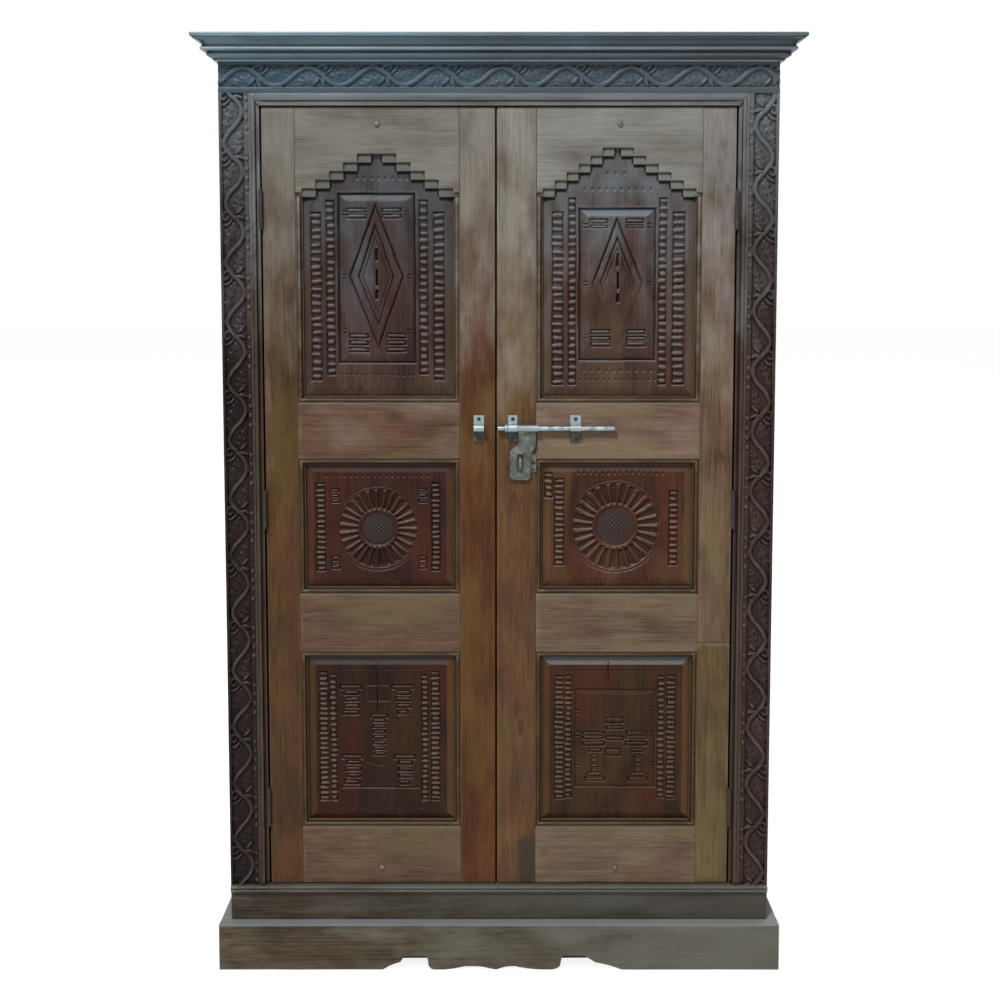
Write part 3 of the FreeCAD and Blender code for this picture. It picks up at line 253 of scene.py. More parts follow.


# The tones of a wood go dark, middle, light, red, pale, and those of a metal dark, middle, bright, rust

# Doors: warm brown, painted grey higher up for the reflection of the light above, redder where the doors
# meet, paler and drier to the right
newWood("doorStileTeak", slot="door_frame_wood", tones="#322218 #4c351f #67492b #542d1a #5e4926",
        ownGrain=True, redAmount=0.3, paleAmount=0.6, bare="#5a4429", grey="#75716a", greyFrom=1080,
        greyTo=1800, greyAmount=0.92, rightAmount=0.85, dustColour="#6c7479", dustFrom=0.1, dustTo=0.8,
        dust=0.5, ash="#4f4c4a", grime="#140d09", grimeAmount=0.75, worn="#87775f", wear=0.5, rough=0.34,
        specular=0.14)
newWood("meetingStileTeak", "doorStileTeak", tones="#3a2214 #55331a #6e4a2a #5e2d18 #644a26",
        grey="#7b7770")
newWood("rightMeetingTeak", "doorStileTeak", tones="#3f2a1c #5d422c #76583c #623922 #6a5230",
        grey="#807d76", ash="#34312a")
newWood("paleStileTeak", "doorStileTeak", tones="#46352a #6c5642 #856f57 #6e4c39 #7b6b4b", grey="#7f7d7a")
newWood("doorRailTeak", "doorStileTeak", tones="#46342a #654e3e #7c6552 #644132 #6e5e42", grey="#73726c",
        ash="#5d6160")
newWood("rightRailTeak", "doorRailTeak", tones="#4e3d31 #6d5a4a #85725e #6c4c3a #786b4f", grey="#7f807c",
        ash="#707571")
newWood("paleRailTeak", "rightRailTeak", tones="#5c4840 #7d6658 #947e70 #7c5a4a #786b4f")
newWood("splicedTeak", "doorStileTeak", tones="#41351f #5f4c34 #7c6a4a #624831 #726645")
newWood("beadingTeak", "doorStileTeak", tones="#2a1c12 #47331f #5f4a31 #482b1a #554529",
        dustColour="#7d7a74", dustFrom=0.45, dustTo=0.95, dust=0.75)

# Panels: dark and waxy, their cuts rubbed pale and given painted highlights, painted grey at the top for the
# reflection of the light above, and almost red in the middle
newWood("carvedPanelTeak", "doorStileTeak", slot="door_panel_wood",
        tones="#200f0a #371d15 #4c2c1f #471b12 #4a301d", redAmount=0.4, paleAmount=0.4, bare="#5b452a",
        grey="#474a4f", greyFrom=1280, greyTo=1740, greyAmount=0.85, dustColour="#645a56", dustTo=0.6,
        dust=0.55, ash="#343130", grime="#0a0503", grimeAmount=0.9, worn="#806c5f", wear=0.55, rough=0.26,
        specular=0.13)
newWood("duskPanelTeak", "carvedPanelTeak", tones="#261813 #412f29 #58443c #4a2d22 #4b3927", redAmount=0.35,
        bare="#564c3a", dustColour="#6c6a6a", dust=0.5, ash="#535f68", worn="#776d68", wear=0.5)
newWood("paleDuskPanelTeak", "duskPanelTeak", tones="#2c1e1a #48352d #614c43 #533228 #594431",
        bare="#6b6146", grey="#5c5e60", dustColour="#7b7c7d", dust=0.6, ash="#74838d", worn="#7f716a")
newWood("redPanelTeak", "carvedPanelTeak", tones="#2a1610 #46271b #5d3829 #55281a #604529", redAmount=0.3,
        paleAmount=0.5, bare="#6e573a", grey="#54575c", dustColour="#776f6a")
newWood("lowPanelTeak", "carvedPanelTeak", tones="#1a0c06 #2b170c #3e2415 #461a0d #402b17", redAmount=0.45,
        bare="#6a4c29", dustColour="#63574d", dust=0.4, ash="#6a676a", worn="#77634f", wear=0.85)
newWood("paleLowPanelTeak", "lowPanelTeak", tones="#201109 #342013 #48301f #502211 #48341c", ash="#777b80")

# Frame and jambs: nearly black in the ground of the vine, painted blue grey towards the frieze for the
# reflection of the light above
newWood("carvedFrameTeak", "doorStileTeak", slot="carved_frame_wood",
        tones="#120b09 #1e1411 #2f211b #2a1812 #2b2218", grey="#4d4c4c", greyFrom=1230, greyTo=1760,
        greyAmount=0.95, dustColour="#554842", dust=0.3, ash="#5d646b", grime="#040202", grimeAmount=0.9,
        worn="#776c69", rough=0.24, specular=0.13)
newWood("rightVineTeak", "carvedFrameTeak", tones="#251b17 #3a2c26 #54433c #33201a #352b22",
        dustColour="#655850", ash="#666d73")
newWood("friezeTeak", "carvedFrameTeak", grey="#435663", greyFrom=1200, greyTo=1500, rightTint="#50575c",
        dustColour="#66747d", worn="#7b8a93", wear=0.3)
newWood("jambTeak", "carvedFrameTeak", tones="#1d130e #34251b #483526 #372018 #3d3323", grey="#6a7073",
        dustColour="#6c7479", dust=0.4, worn="#6f6255", wear=0.4)

# Cornice: its blue grey tones paint the reflection of the light above on its old polish, duller to the right
newWood("corniceTeak", "doorStileTeak", slot="cornice_wood",
        tones="#5f7788 #7891a3 #97afbd #6b7479 #7a868e", grey="#6e8490", greyFrom=1700, greyTo=1900,
        greyAmount=0.6, rightTint="#495157", dustColour="#a6b6bd", dustFrom=0.2, dust=0.75, grime="#10181e",
        grimeAmount=0.9, worn="#c0ccd1", wear=0.9, rough=0.24, specular=0.3)

# Base: dusty and dull, brown to the left and grey to the right
newWood("plinthTeak", "doorStileTeak", slot="plinth_wood", tones="#30271d #574d3e #7a7262 #51402f #6d6d62",
        paleAmount=0.9, greyAmount=0.0, rightTint="#6e6d65", rightAmount=0.75, dustColour="#818789",
        dust=0.8, grime="#181410", worn="#8a887f", wear=0.9, rough=0.42)
newWood("baseTeak", "plinthTeak", tones="#261f18 #433c33 #5f5a51 #51402f #57564f", rightTint="#504e47",
        dust=0.12, wear=0.6)

# Inside: dry wood without polish
newWood("carcassTeak", "doorStileTeak", slot="carcass_wood",
        tones="#43342a #55432f #6f5b42 #553a2a #655438", greyAmount=0.45, rough=0.6, specular=0.15)
newWood("battenTeak", "carcassTeak", ownGrain=False)

# Metals: the bright rod of the bolt, straps and a hasp that are bright only at the rod, dull eye and studs
newMetal("drawnSteel", slot="worn_steel", tones="#66757a #8f9ca1 #b4c0c3 #4f4a44", rustFrom=0.38,
         metallic=0.85, rough=0.34)
newMetal("strapSteel", slot="worn_steel", tones="#2b2d2a #3c403c #565b57 #38322a", rustFrom=0.44,
         metallic=0.8, rough=0.36, cleanFrom=1122, clean="#97a4a7")
newMetal("haspIron", slot="aged_iron", tones="#474a46 #5f635e #7d827b #494238", rustFrom=0.42,
         metallic=0.75, rough=0.4, cleanFrom=1121, clean="#8f9ca0")
newMetal("dullIron", slot="aged_iron", tones="#4c4b46 #66655f #86857d #4a4036", rustFrom=0.46,
         metallic=0.75, rough=0.42)
newMetal("blackIron", slot="aged_iron", tones="#201d1b #34302c #4b4640 #3a2c22", rustFrom=0.5, metallic=0.6,
         rough=0.5)
print("materials made:", len(finishes))


# Making meshes

def smoothNoise(x, y, z, size, seed=0):
    # Value noise: numbers on a lattice of this size, eased between by 3t^2 - 2t^3 on each axis, from -1 to 1
    cells, eases = [], []
    for axis in (x, y, z):
        scaled = np.asarray(axis, float) / size + seed * 3.7
        floor = np.floor(scaled)
        part = scaled - floor
        cells.append(floor.astype(np.int64))
        eases.append(part * part * (3 - 2 * part))
    total = 0
    for corner in range(8):
        weight, key = 1.0, seed * 1013
        for axis, prime in enumerate((73856093, 19349663, 83492791)):
            bit = corner >> axis & 1
            weight = weight * (eases[axis] if bit else 1 - eases[axis])
            key = key ^ ((cells[axis] + bit) * prime)
        total = total + weight * noiseTable[key & 4095]
    return total


def wander(x, y, z, waves, seed):
    # A sum of noises (most, size), each with the next seed
    return sum(most * smoothNoise(x, y, z, size, seed + number) for number, (most, size) in enumerate(waves))


def edgeValues(mesh, points, normals):
    # How far each corner stands out from its neighbours along its normal: 1 on ridges, -1 in creases
    pairs = np.empty(len(mesh.edges) * 2, np.int64)
    mesh.edges.foreach_get("vertices", pairs)
    first, second = pairs.reshape(-1, 2).T
    away = points[first] - points[second]
    away /= np.maximum(np.linalg.norm(away, axis=1, keepdims=True), 1e-9)
    count = np.maximum(np.bincount(pairs, minlength=len(points)), 1)
    rise = np.bincount(first, (normals[first] * away).sum(1), len(points))
    rise += np.bincount(second, -(normals[second] * away).sum(1), len(points))
    value = np.clip(rise / count * 3.2, -1, 1)
    spread = np.bincount(first, value[second], len(points)) + np.bincount(second, value[first], len(points))
    return 0.6 * value + 0.4 * spread / count


def placePiece(name, node, body, finish, mesh):
    # Shows a finished mesh in a node's place
    mesh.materials.clear()
    mesh.materials.append(finishes[finish])
    piece = newObject(name, mesh)
    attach(piece, body)
    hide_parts(node)
    return piece


def storeValues(mesh, label, kind, field, values):
    # One value or vector for each point, under a name that the materials read
    mesh.attributes.new(label, kind, "POINT").data.foreach_set(field, values.astype(np.float32).ravel())


def finishPiece(name, node, body, finish, shape, along="z", dents=0.5, sharp=50, proud=None, dentSize=55,
                **shades):
    # Makes a piece of its points and faces, dents it inwards with noise, and stores on its points the place
    # in the grain, how far edges stand out, how sunk each place is (grime and painted shade), how ashen or
    # painted with sheen it is, and how much painted highlight its slopes take
    points, faces = np.asarray(shape[0], float), shape[1]
    mesh = bpy.data.meshes.new(name)
    mesh.from_pydata((points * mm).tolist(), [], faces)
    work = bmesh.new()
    work.from_mesh(mesh)
    bmesh.ops.recalc_face_normals(work, faces=work.faces)
    work.to_mesh(mesh)
    work.free()
    normals = np.empty(len(points) * 3, np.float32)
    mesh.vertices.foreach_get("normal", normals)
    normals = normals.reshape(-1, 3)
    seed = sum(ord(letter) for letter in name) % 97
    if dents:
        depth = 0.5 + wander(*points.T, ((0.5, dentSize), (0.175, dentSize / 4)), seed) / 1.35
        points = points - normals * (dents * depth)[:, None]
        mesh.vertices.foreach_set("co", (points * mm).astype(np.float32).ravel())
        mesh.update()
    order = {"x": (0, 2, 1), "y": (1, 0, 2), "z": (2, 0, 1)}[along]
    grain = points[:, order] * mm + seed * np.array([1.37, 0.61, 0.29])
    storeValues(mesh, "grain", "FLOAT_VECTOR", "vector", grain)
    edge = edgeValues(mesh, points, normals)
    if proud is not None:
        edge[:proud.size] = np.maximum(0.4 * edge[:proud.size], proud.ravel())
        edge[proud.size:] = 0
    for label, values in dict(shades, edge=edge).items():
        stored = np.zeros(len(points))
        stored[:np.size(values)] = np.ravel(values)
        storeValues(mesh, label, "FLOAT", "value", stored)
    mesh.shade_smooth()
    if sharp:
        mesh.set_sharp_from_angle(angle=math.radians(sharp))
    placePiece(name, node, body, finish, mesh)


def merged(shapes):
    # Several point and face lists as one
    points, faces, start = [], [], 0
    for somePoints, someFaces in shapes:
        points.append(somePoints)
        faces += [[corner + start for corner in face] for face in someFaces]
        start += len(somePoints)
    return np.concatenate(points), faces


def shortened(outline, step):
    # A closed outline with its long sides cut into lengths of no more than the step
    outline = np.asarray(outline, float)
    pieces = []
    for here, there in zip(outline, np.roll(outline, -1, axis=0)):
        count = max(1, math.ceil(np.linalg.norm(there - here) / step))
        pieces.append(here + (there - here) * np.arange(count)[:, None] / count)
    return np.concatenate(pieces)


def roundedRectangle(low, high, radius, step=9):
    # Four quarter circles joined by straight sides
    corners = []
    for signA, signB, start in ((1, 1, 0), (-1, 1, 90), (-1, -1, 180), (1, -1, 270)):
        centre = np.where([signA > 0, signB > 0], np.array(high) - radius, np.array(low) + radius)
        angles = np.radians(start + np.array([0, 30, 60, 90]))
        corners.append(centre + radius * np.stack([np.cos(angles), np.sin(angles)], axis=1))
    return shortened(np.concatenate(corners), step)


def tubeFaces(rows, around):
    # Quads between one closed ring of points and the next, and a cap at each end
    ids = np.arange(rows * around).reshape(rows, around)
    ahead = np.roll(ids, -1, axis=1)
    quads = np.stack([ids[:-1], ahead[:-1], ahead[1:], ids[1:]], axis=-1).reshape(-1, 4)
    return quads.tolist() + [ids[0].tolist(), ids[-1][::-1].tolist()]


def carried(starts, ends, step=12, endRound=1.2):
    # A closed profile carried along a straight path: place(i, v) = start(i) + (end(i) - start(i)) * v.
    # The first and last rings are drawn in a little, which rounds the ends.
    starts, ends = np.asarray(starts, float), np.asarray(ends, float)
    length = np.linalg.norm(ends - starts, axis=1).mean()
    inset = min(endRound / length, 0.2)
    v = np.concatenate([[0], np.linspace(inset, 1 - inset, max(2, round(length / step))), [1]])
    rings = starts + (ends - starts) * v[:, None, None]
    for ring in (0, -1):
        toMiddle = rings[ring].mean(axis=0) - rings[ring]
        reach = np.linalg.norm(toMiddle, axis=1, keepdims=True)
        rings[ring] += toMiddle / np.maximum(reach, 1e-6) * np.minimum(endRound, reach * 0.3)
    return rings.reshape(-1, 3), tubeFaces(len(v), len(starts))


def boardShape(low, high, along, radius=1.6):
    # A board with rounded edges: the rounded rectangle of its two other sides carried along its length
    axis = "xyz".index(along)
    others = [i for i in range(3) if i != axis]
    profile = roundedRectangle(np.array(low)[others], np.array(high)[others], radius)
    starts = np.zeros((len(profile), 3))
    starts[:, others] = profile
    ends = starts.copy()
    starts[:, axis], ends[:, axis] = low[axis], high[axis]
    return carried(starts, ends)


def reliefShape(xs, zs, front, back):
    # A board whose face is y = -front(x, z) on the grid, with straight sides and a flat back
    gridX, gridZ = np.meshgrid(xs, zs, indexing="ij")
    face = np.stack([gridX, -front, gridZ], axis=-1).reshape(-1, 3)
    ids = np.arange(len(face)).reshape(len(xs), len(zs))
    quads = np.stack([ids[:-1, :-1], ids[1:, :-1], ids[1:, 1:], ids[:-1, 1:]], axis=-1).reshape(-1, 4)
    ring = np.concatenate([ids[:, 0], ids[-1, 1:], ids[-2::-1, -1], ids[0, -2:0:-1]])
    rear = face[ring].copy()
    rear[:, 1] = back
    rearIds = len(face) + np.arange(len(ring))
    edges = np.stack([ring, rearIds, np.roll(rearIds, -1), np.roll(ring, -1)], axis=1)
    return np.concatenate([face, rear]), quads.tolist() + edges.tolist() + [rearIds[::-1].tolist()]


def gridLines(*spans):
    # Grid lines over spans of (start, end, step)
    lines = [np.linspace(a, b, max(1, round((b - a) / step)) + 1)[:-1] for a, b, step in spans]
    return np.concatenate(lines + [[spans[-1][1]]])


# Cuts of the carver, as depths below the board's face on a grid

# How deep the cuts of the panels are, and how wide the sunk margin round a single bar is
depths = {
    "upper": {"column": 4.4, "bar": 4.0, "margin": 1.4, "frame": 6.2, "outerDiamond": 4.6,
              "innerDiamond": 3.2, "diamondLine": 2.6, "slit": 9.0},
    "middle": {"column": 4.4, "bar": 3.4, "margin": 1.4},
    "lower": {"column": 3.6, "bar": 3.8, "margin": 1.2, "frame": 3.6},
    "notch": 3.0, "tick": 5.5, "frameLine": 1.2,
    "ray": 4.6, "rings": ((0, 3.6, 1.9), (6, 3.4, 2.4)), "bed": 6.5, "cap": 6.2, "rim": 6.0, "hatch": 2.2,
    "hatchPitch": 9.5, "hatchWidth": 1.9,
}


def soft(distance, width=1.6):
    # From 0 outside an edge to 1 inside it, over this width
    return np.clip(distance / width + 0.5, 0, 1)


def distanceTo(x, z, line):
    # The least distance from each place to a line of points
    least = np.full(x.shape, 1e9)
    for (ax, az), (bx, bz) in zip(line[:-1], line[1:]):
        dx, dz = bx - ax, bz - az
        share = np.clip(((x - ax) * dx + (z - az) * dz) / (dx * dx + dz * dz), 0, 1)
        least = np.minimum(least, np.hypot(x - ax - share * dx, z - az - share * dz))
    return least


def groove(x, z, line, width, depth):
    # A pointed cut along a line
    return -depth * np.clip(1 - distanceTo(x, z, line) / (width / 2), 0, 1)


def insidePolygon(x, z, points):
    # How far inside a convex outline each place lies: the least distance to its sides
    points = np.asarray(points, float)
    after = np.roll(points, -1, axis=0)
    turn = np.sign(np.sum(points[:, 0] * after[:, 1] - after[:, 0] * points[:, 1]))
    least = np.full(x.shape, 1e9)
    for (ax, az), (bx, bz) in zip(points, after):
        inside = ((bx - ax) * (z - az) - (bz - az) * (x - ax)) / math.hypot(bx - ax, bz - az)
        least = np.minimum(least, turn * inside)
    return least


def insideBox(x, z, box):
    # How far inside a rectangle each place lies
    west, east, foot, head = box
    return np.minimum(np.minimum(x - west, east - x), np.minimum(z - foot, head - z))


def barColumn(x, z, west, east, foot, head, count, depth):
    # A sunk strip with one half-round bar in each of its equal spaces, each a little out of true
    middle, half = (west + east) / 2, (east - west) / 2
    place = (z - foot) / (head - foot) * count
    index = np.clip(np.floor(place).astype(int), 0, count - 1)
    offTrue = chance.uniform(-1, 1, (5, count))[:, index]
    tilt = 0.006 * offTrue[4] * (x - middle)
    across = (place - index - 0.5 + 0.08 * offTrue[0] + tilt) / (0.29 + 0.05 * offTrue[1])
    end = (x - middle + 0.8 * offTrue[2]) / (half - 0.4 + 0.9 * offTrue[3])
    bar = np.sqrt(np.clip(1 - across ** 2 - end ** 6, 0, 1))
    bed = soft(half + 0.8 - abs(x - middle), 3) * soft(z - foot, 3) * soft(head - z, 3)
    return -depth * bed * (1 - bar)


def bars(x, z, places, depth, margin):
    # Half-round bars (middle x, middle z, width, height), each in its own sunk bed
    sunk, bar = np.zeros(x.shape), np.zeros(x.shape)
    for middleX, middleZ, width, height in places:
        shiftX, shiftZ, stretch = chance.uniform(-1, 1, 3) * (0.7, 0.4, 0.05)
        end = (x - middleX - shiftX) / (width / 2 * (1 + stretch))
        across = (z - middleZ - shiftZ) / (height / 2)
        insideX, insideZ = width / 2 + margin - abs(x - middleX), height / 2 + margin - abs(z - middleZ)
        sunk = np.maximum(sunk, soft(insideX, 2.6) * soft(insideZ, 2.6))
        bar = np.maximum(bar, np.sqrt(np.clip(1 - across ** 2 - end ** 8, 0, 1)))
    return -depth * sunk * (1 - bar)


def notches(x, z, west, east, height, count, size):
    # A row of small pointed cuts
    place = (x - west) / (east - west) * count
    index = np.floor(place)
    across = (place - index - 0.5) * (east - west) / count
    drop = np.hypot(across, (z - height) * 0.8)
    return np.where((index >= 0) & (index < count), -depths["notch"] * np.clip(1 - drop / size, 0, 1), 0)


def repeatedCuts(x, z, look, depth):
    # A panel's columns of bars, its single bars and its rows of notches
    cuts = [barColumn(x, z, *column, depth["column"]) for column in look["columns"]]
    cuts.append(bars(x, z, look["bars"], depth["bar"], depth["margin"]))
    return np.minimum.reduce(cuts + [notches(x, z, *row) for row in look["rows"]])


def rosette(x, z, centre, rays, outer, inner, dome):
    # Raised rays between two rings, round a hatched dome: height = half round across each ray's angle
    radius, angle = np.hypot(x - centre[0], z - centre[1]), np.arctan2(z - centre[1], x - centre[0])
    place = (angle / (2 * math.pi) + 0.5) * rays
    index = np.floor(place).astype(int) % rays
    offTrue = chance.uniform(-1, 1, (3, rays))[:, index]
    across = abs(place - np.floor(place) - 0.5 + 0.06 * offTrue[0]) / (0.27 + 0.03 * offTrue[1])
    ray = np.sqrt(np.clip(1 - across ** 2, 0, 1))
    zone = soft(radius - inner - 3, 3) * soft(outer - 7 - 1.5 * offTrue[2] - radius, 3)
    relief = -depths["ray"] * zone * (1 - ray)
    for inset, width, depth in depths["rings"]:
        relief = np.minimum(relief, -depth * np.clip(1 - abs(radius - outer + inset) / width, 0, 1))
    bed = -depths["bed"] * soft(inner - 2 - radius, 4)
    cap = depths["cap"] * np.sqrt(np.clip(1 - (radius / dome) ** 2, 0, 1))
    pitch, width = depths["hatchPitch"], depths["hatchWidth"]
    hatch = sum(np.clip(1 - abs(np.mod(t, pitch) - pitch / 2) / width, 0, 1) for t in (x + z, x - z))
    rim = depths["rim"] * np.clip(1 - abs(radius - inner + 1) / 4.5, 0, 1) ** 0.5
    middle = np.where(radius < dome, bed + cap - depths["hatch"] * hatch, bed + rim)
    return np.where(radius < inner + 3, np.maximum(middle, relief - 3), relief)


def bevelledFrame(x, z, look, depth):
    # A raised block whose edges slope from the outer rectangle up to the inner one
    outer, inner = look["frameOuter"], look["frameInner"]
    west, east, foot, head = inner
    inset = insideBox(x, z, outer)
    slope = -depth * (1 - np.clip(inset / abs(west - outer[0]), 0, 1)) * soft(inset, 1.2)
    line = [(west, foot), (east, foot), (east, head), (west, head), (west, foot)]
    return np.minimum(slope, groove(x, z, line, 3.2, depths["frameLine"]))


def ticks(x, z, look):
    # Pairs of short cuts across the sloping sides of the frame
    cuts = []
    for side in (0, 1):
        start, end = sorted((look["frameOuter"][side], look["frameInner"][side]))
        for height in look["ticks"]:
            for lift in (-3.5, 3.5):
                line = [(start + 1, height + lift), (end - 1, height + lift)]
                cuts.append(groove(x, z, line, 3.4, depths["tick"]))
    return np.minimum.reduce(cuts)


def upperCarving(x, z, look):
    # A diamond in a raised frame between columns of bars, worn away towards its foot
    depth = depths["upper"]
    cuts = repeatedCuts(x, z, look, depth)
    outer, inner = (insidePolygon(x, z, look[name]) for name in ("diamond", "innerDiamond"))
    kept = 1 - look["wornAway"] * soft(look["diamond"][1][1] - z, 60)
    line = -depth["outerDiamond"] * kept * np.clip(1.2 - abs(outer) / 2.8, 0, 1)
    relief = np.minimum(bevelledFrame(x, z, look, depth["frame"]), line)
    relief = relief - depth["innerDiamond"] * kept * soft(inner, 2.4)
    for inset, width in ((1.5, 2.4), (9, 2.6)):
        relief = relief - depth["diamondLine"] * kept * np.clip(1 - abs(inner - inset) / width, 0, 1)
    for top, foot, width in look["slits"]:
        slit = distanceTo(x, z, [(look["middle"], top - width / 3), (look["middle"], foot + width / 3)])
        relief = np.minimum(relief, -depth["slit"] * soft(width / 3 - slit, 1.8))
    return np.minimum.reduce([cuts, relief, ticks(x, z, look)])


def middleCarving(x, z, look):
    # A sun between short columns of bars
    relief = rosette(x, z, **look["rosette"])
    return np.minimum(relief, repeatedCuts(x, z, look, depths["middle"]))


def lowerCarving(x, z, look):
    # Blocks of bars and scored lines between columns of bars, inside a raised frame on the right door
    cuts = [repeatedCuts(x, z, look, depths["lower"])]
    if "frameOuter" in look:
        cuts += [bevelledFrame(x, z, look, depths["lower"]["frame"]), ticks(x, z, look)]
    cuts += [groove(x, z, *line) for line in look["lines"]]
    return np.minimum.reduce(cuts)


# Each door's drawings: rectangles and columns go west, east, foot, head, columns also a count of bars,
# and rows go west, east, height, count and size

upperLeft = {
    "columns": [(-381, -360, 1226, 1568, 23), (-349, -333, 1237, 1592, 24),
                (-161, -144.5, 1237, 1592, 24), (-132, -111, 1226, 1568, 23)],
    "frameOuter": (-326, -169, 1262, 1606), "frameInner": (-309, -187, 1274, 1591),
    "middle": -248, "wornAway": 0.15, "slits": [(1495, 1469, 10), (1453, 1419, 6), (1412, 1392, 10)],
    "diamond": [(-249, 1580), (-302, 1438), (-245, 1295), (-195, 1438)],
    "innerDiamond": [(-250, 1546), (-286, 1438), (-245, 1336), (-213, 1438)],
    "bars": [(middle, height, 38, 7) for middle in (-288, -217) for height in (1571, 1559)]
    + [(middle, height, 38, 7.5) for middle in (-285, -208) for height in (1317, 1303, 1289)],
    "ticks": (1566, 1438, 1327),
    "rows": [(-292, -180, 1636, 8, 4.5), (-326, -166, 1238, 15, 3.4), (-310, -136, 1210, 9, 3.6)],
}
upperRight = {
    "columns": [(108, 130, 1217, 1568, 24), (141.5, 156, 1217, 1596, 26),
                (324, 339, 1217, 1596, 26), (352, 376, 1217, 1568, 24)],
    "frameOuter": (161.5, 317.5, 1267, 1576), "frameInner": (181, 299.5, 1284, 1560),
    "middle": 241, "wornAway": 0.65, "slits": [(1486, 1458, 8), (1448, 1412, 7), (1403, 1385, 9)],
    "diamond": [(238, 1552), (190.5, 1423), (243, 1297), (291, 1424)],
    "innerDiamond": [(239, 1520), (204, 1424), (243, 1334), (277, 1424)],
    "bars": [(middle, height, 35, width) for height, width in ((1549, 7), (1538, 4)) for middle in (202, 275)]
    + [(middle, height, 38, 7.5) for middle in (207, 279) for height in (1325, 1312, 1300)],
    "ticks": (1540, 1424, 1316),
    "rows": [(166, 314, 1614, 10, 4.5), (165, 316, 1247, 10, 4.2), (160, 324, 1228, 14, 3.2),
             (210, 262, 1645, 3, 4.0)],
}
middleLeft = {
    "rosette": {"centre": (-248.5, 921), "rays": 27, "outer": 87, "inner": 39, "dome": 31},
    "columns": [(-375, -356.5, 832, 1016, 17), (-137.5, -121, 832, 1016, 17)],
    "bars": [(middle, height, 15, 5.5) for middle in (-335.5, -156)
             for height in (1000, 989, 978, 859, 850, 840)],
    "rows": [(-359, -140, 1030, 18, 3.6), (-345, -150, 815, 8, 4.0)],
}
middleRight = {
    "rosette": {"centre": (239, 926), "rays": 25, "outer": 95, "inner": 45, "dome": 37},
    "columns": [(114, 133.5, 843, 1024, 16), (350, 367, 844, 1000, 13), (94, 110, 984, 1036, 4)],
    "bars": [], "rows": [(156, 342, 1036, 15, 3.6), (146, 340, 815, 9, 4.0)],
}
lowerLeft = {
    "columns": [(-373, -355, 345, 620, 26), (-350.5, -337.5, 345, 614, 24),
                (-160, -147.5, 345, 614, 24), (-141.5, -123, 345, 620, 26)],
    "bars": [(middle + shift, top - drop, width, 8)
             for middle, top, last in ((-308, 587, 32), (-200, 587, 20), (-306, 438, 32), (-197, 438, 20))
             for shift, drop, width in ((0, 0, 45), (2, 12, 29), (2, 26, 30), (3, 40, 28), (0, 54, last))]
    + [(-249, 525, 35, 7)] + [(-249, 515 - 11.6 * step, 25, 6) for step in range(7)],
    "lines": [([(-276, 591), (-228, 591)], 3, 2), ([(-276, 558), (-228, 558)], 3.4, 2.6),
              ([(-276, 591), (-276, 558)], 2, 1), ([(-228, 591), (-228, 558)], 2, 1),
              ([(-328, 373), (-165, 373)], 4.5, 3), ([(-277, 428), (-250, 420), (-235, 424)], 3, 2.5),
              ([(-253, 640), (-252, 596), (-254, 530)], 1.8, 5)],
    "rows": [(-326, -162, 625, 19, 2.8), (-340, -150, 331, 8, 4.0), (-330, -270, 519, 6, 2.6),
             (-226, -170, 519, 6, 2.6)],
}
lowerRight = {
    "columns": [(116, 135, 347, 612, 25), (137, 151, 350, 612, 24),
                (330, 344, 350, 612, 22), (348.5, 367, 347, 612, 25)],
    "frameOuter": (156.5, 325.5, 374, 583), "frameInner": (168, 314, 385, 574),
    "bars": [(241, 516, 36, 11), (241, 501, 35, 6), (241, 478, 37, 7), (238, 448, 31, 14)]
    + [(middle, height, 44, width) for middle in (197, 287)
       for height, width in ((489, 5), (480, 5), (467, 8))]
    + [(middle, height, width, 6) for middle in (200, 290)
       for height, width in ((453, 24), (440, 12), (430, 12), (420, 12), (410, 12), (401, 30), (391, 42))],
    "lines": [([(262, 444), (262, 392)], 4, 2), ([(222, 436), (222, 392)], 4, 2),
              ([(227, 640), (227, 600)], 1.6, 4)],
    "ticks": (533, 487, 424), "rows": [(134, 348, 622, 20, 3.0), (190, 320, 331, 7, 3.4)],
}
panels = {
    "bevel": 16, "raise": 5, "beading": 13, "grooveDepth": 7, "dents": 0.25, "border": 5,
    "warp": ((0.8, 42), (0.3, 9)),
    "woods": {"left": {"upper": "duskPanelTeak", "middle": "carvedPanelTeak", "lower": "lowPanelTeak"},
              "right": {"upper": "paleDuskPanelTeak", "middle": "redPanelTeak", "lower": "paleLowPanelTeak"}},
    "ends": {"left": (-409.5, -79.5), "right": (75.5, 409.5)},
    "drawings": {"left": {"upper": upperLeft, "middle": middleLeft, "lower": lowerLeft},
                 "right": {"upper": upperRight, "middle": middleRight, "lower": lowerRight}},
    "makers": {"upper": upperCarving, "middle": middleCarving, "lower": lowerCarving},
    "steps": {"upper": (1.65, 1.4), "middle": (1.25, 1.2), "lower": (1.5, 1.2)},
    "bare": {"upper": 0.45, "middle": 0.5, "lower": 0.65}, "topSheenAndAsh": {"left": 0.3, "right": 0.65},
    "domeAsh": 0.75, "frameShade": 0.35,
}

# The stepped arches: steps on each side of a peak, over a ledge that is cut back into the rail
arch = {
    "left": {"rise": 86, "steps": 5, "peak": 22, "offset": -1},
    "right": {"rise": 98, "steps": 6, "peak": 13, "offset": -4},
    "spring": 1597, "ledgeDepth": 4, "ledgeDrop": 9, "ledgeSpan": (2.2, 9.5), "pocketOver": 8,
    # ledgeShade, besideShadow and underShadow set painted shadows on and beside the steps
    "pocketSpan": (9, 26), "round": 1.1, "cell": 9, "ledgeShade": 0.75, "ledgeAsh": 0.8,
    "patches": {"left": 0.3, "right": 0.8}, "besideShadow": (6, 4), "underShadow": (10, 6),
}


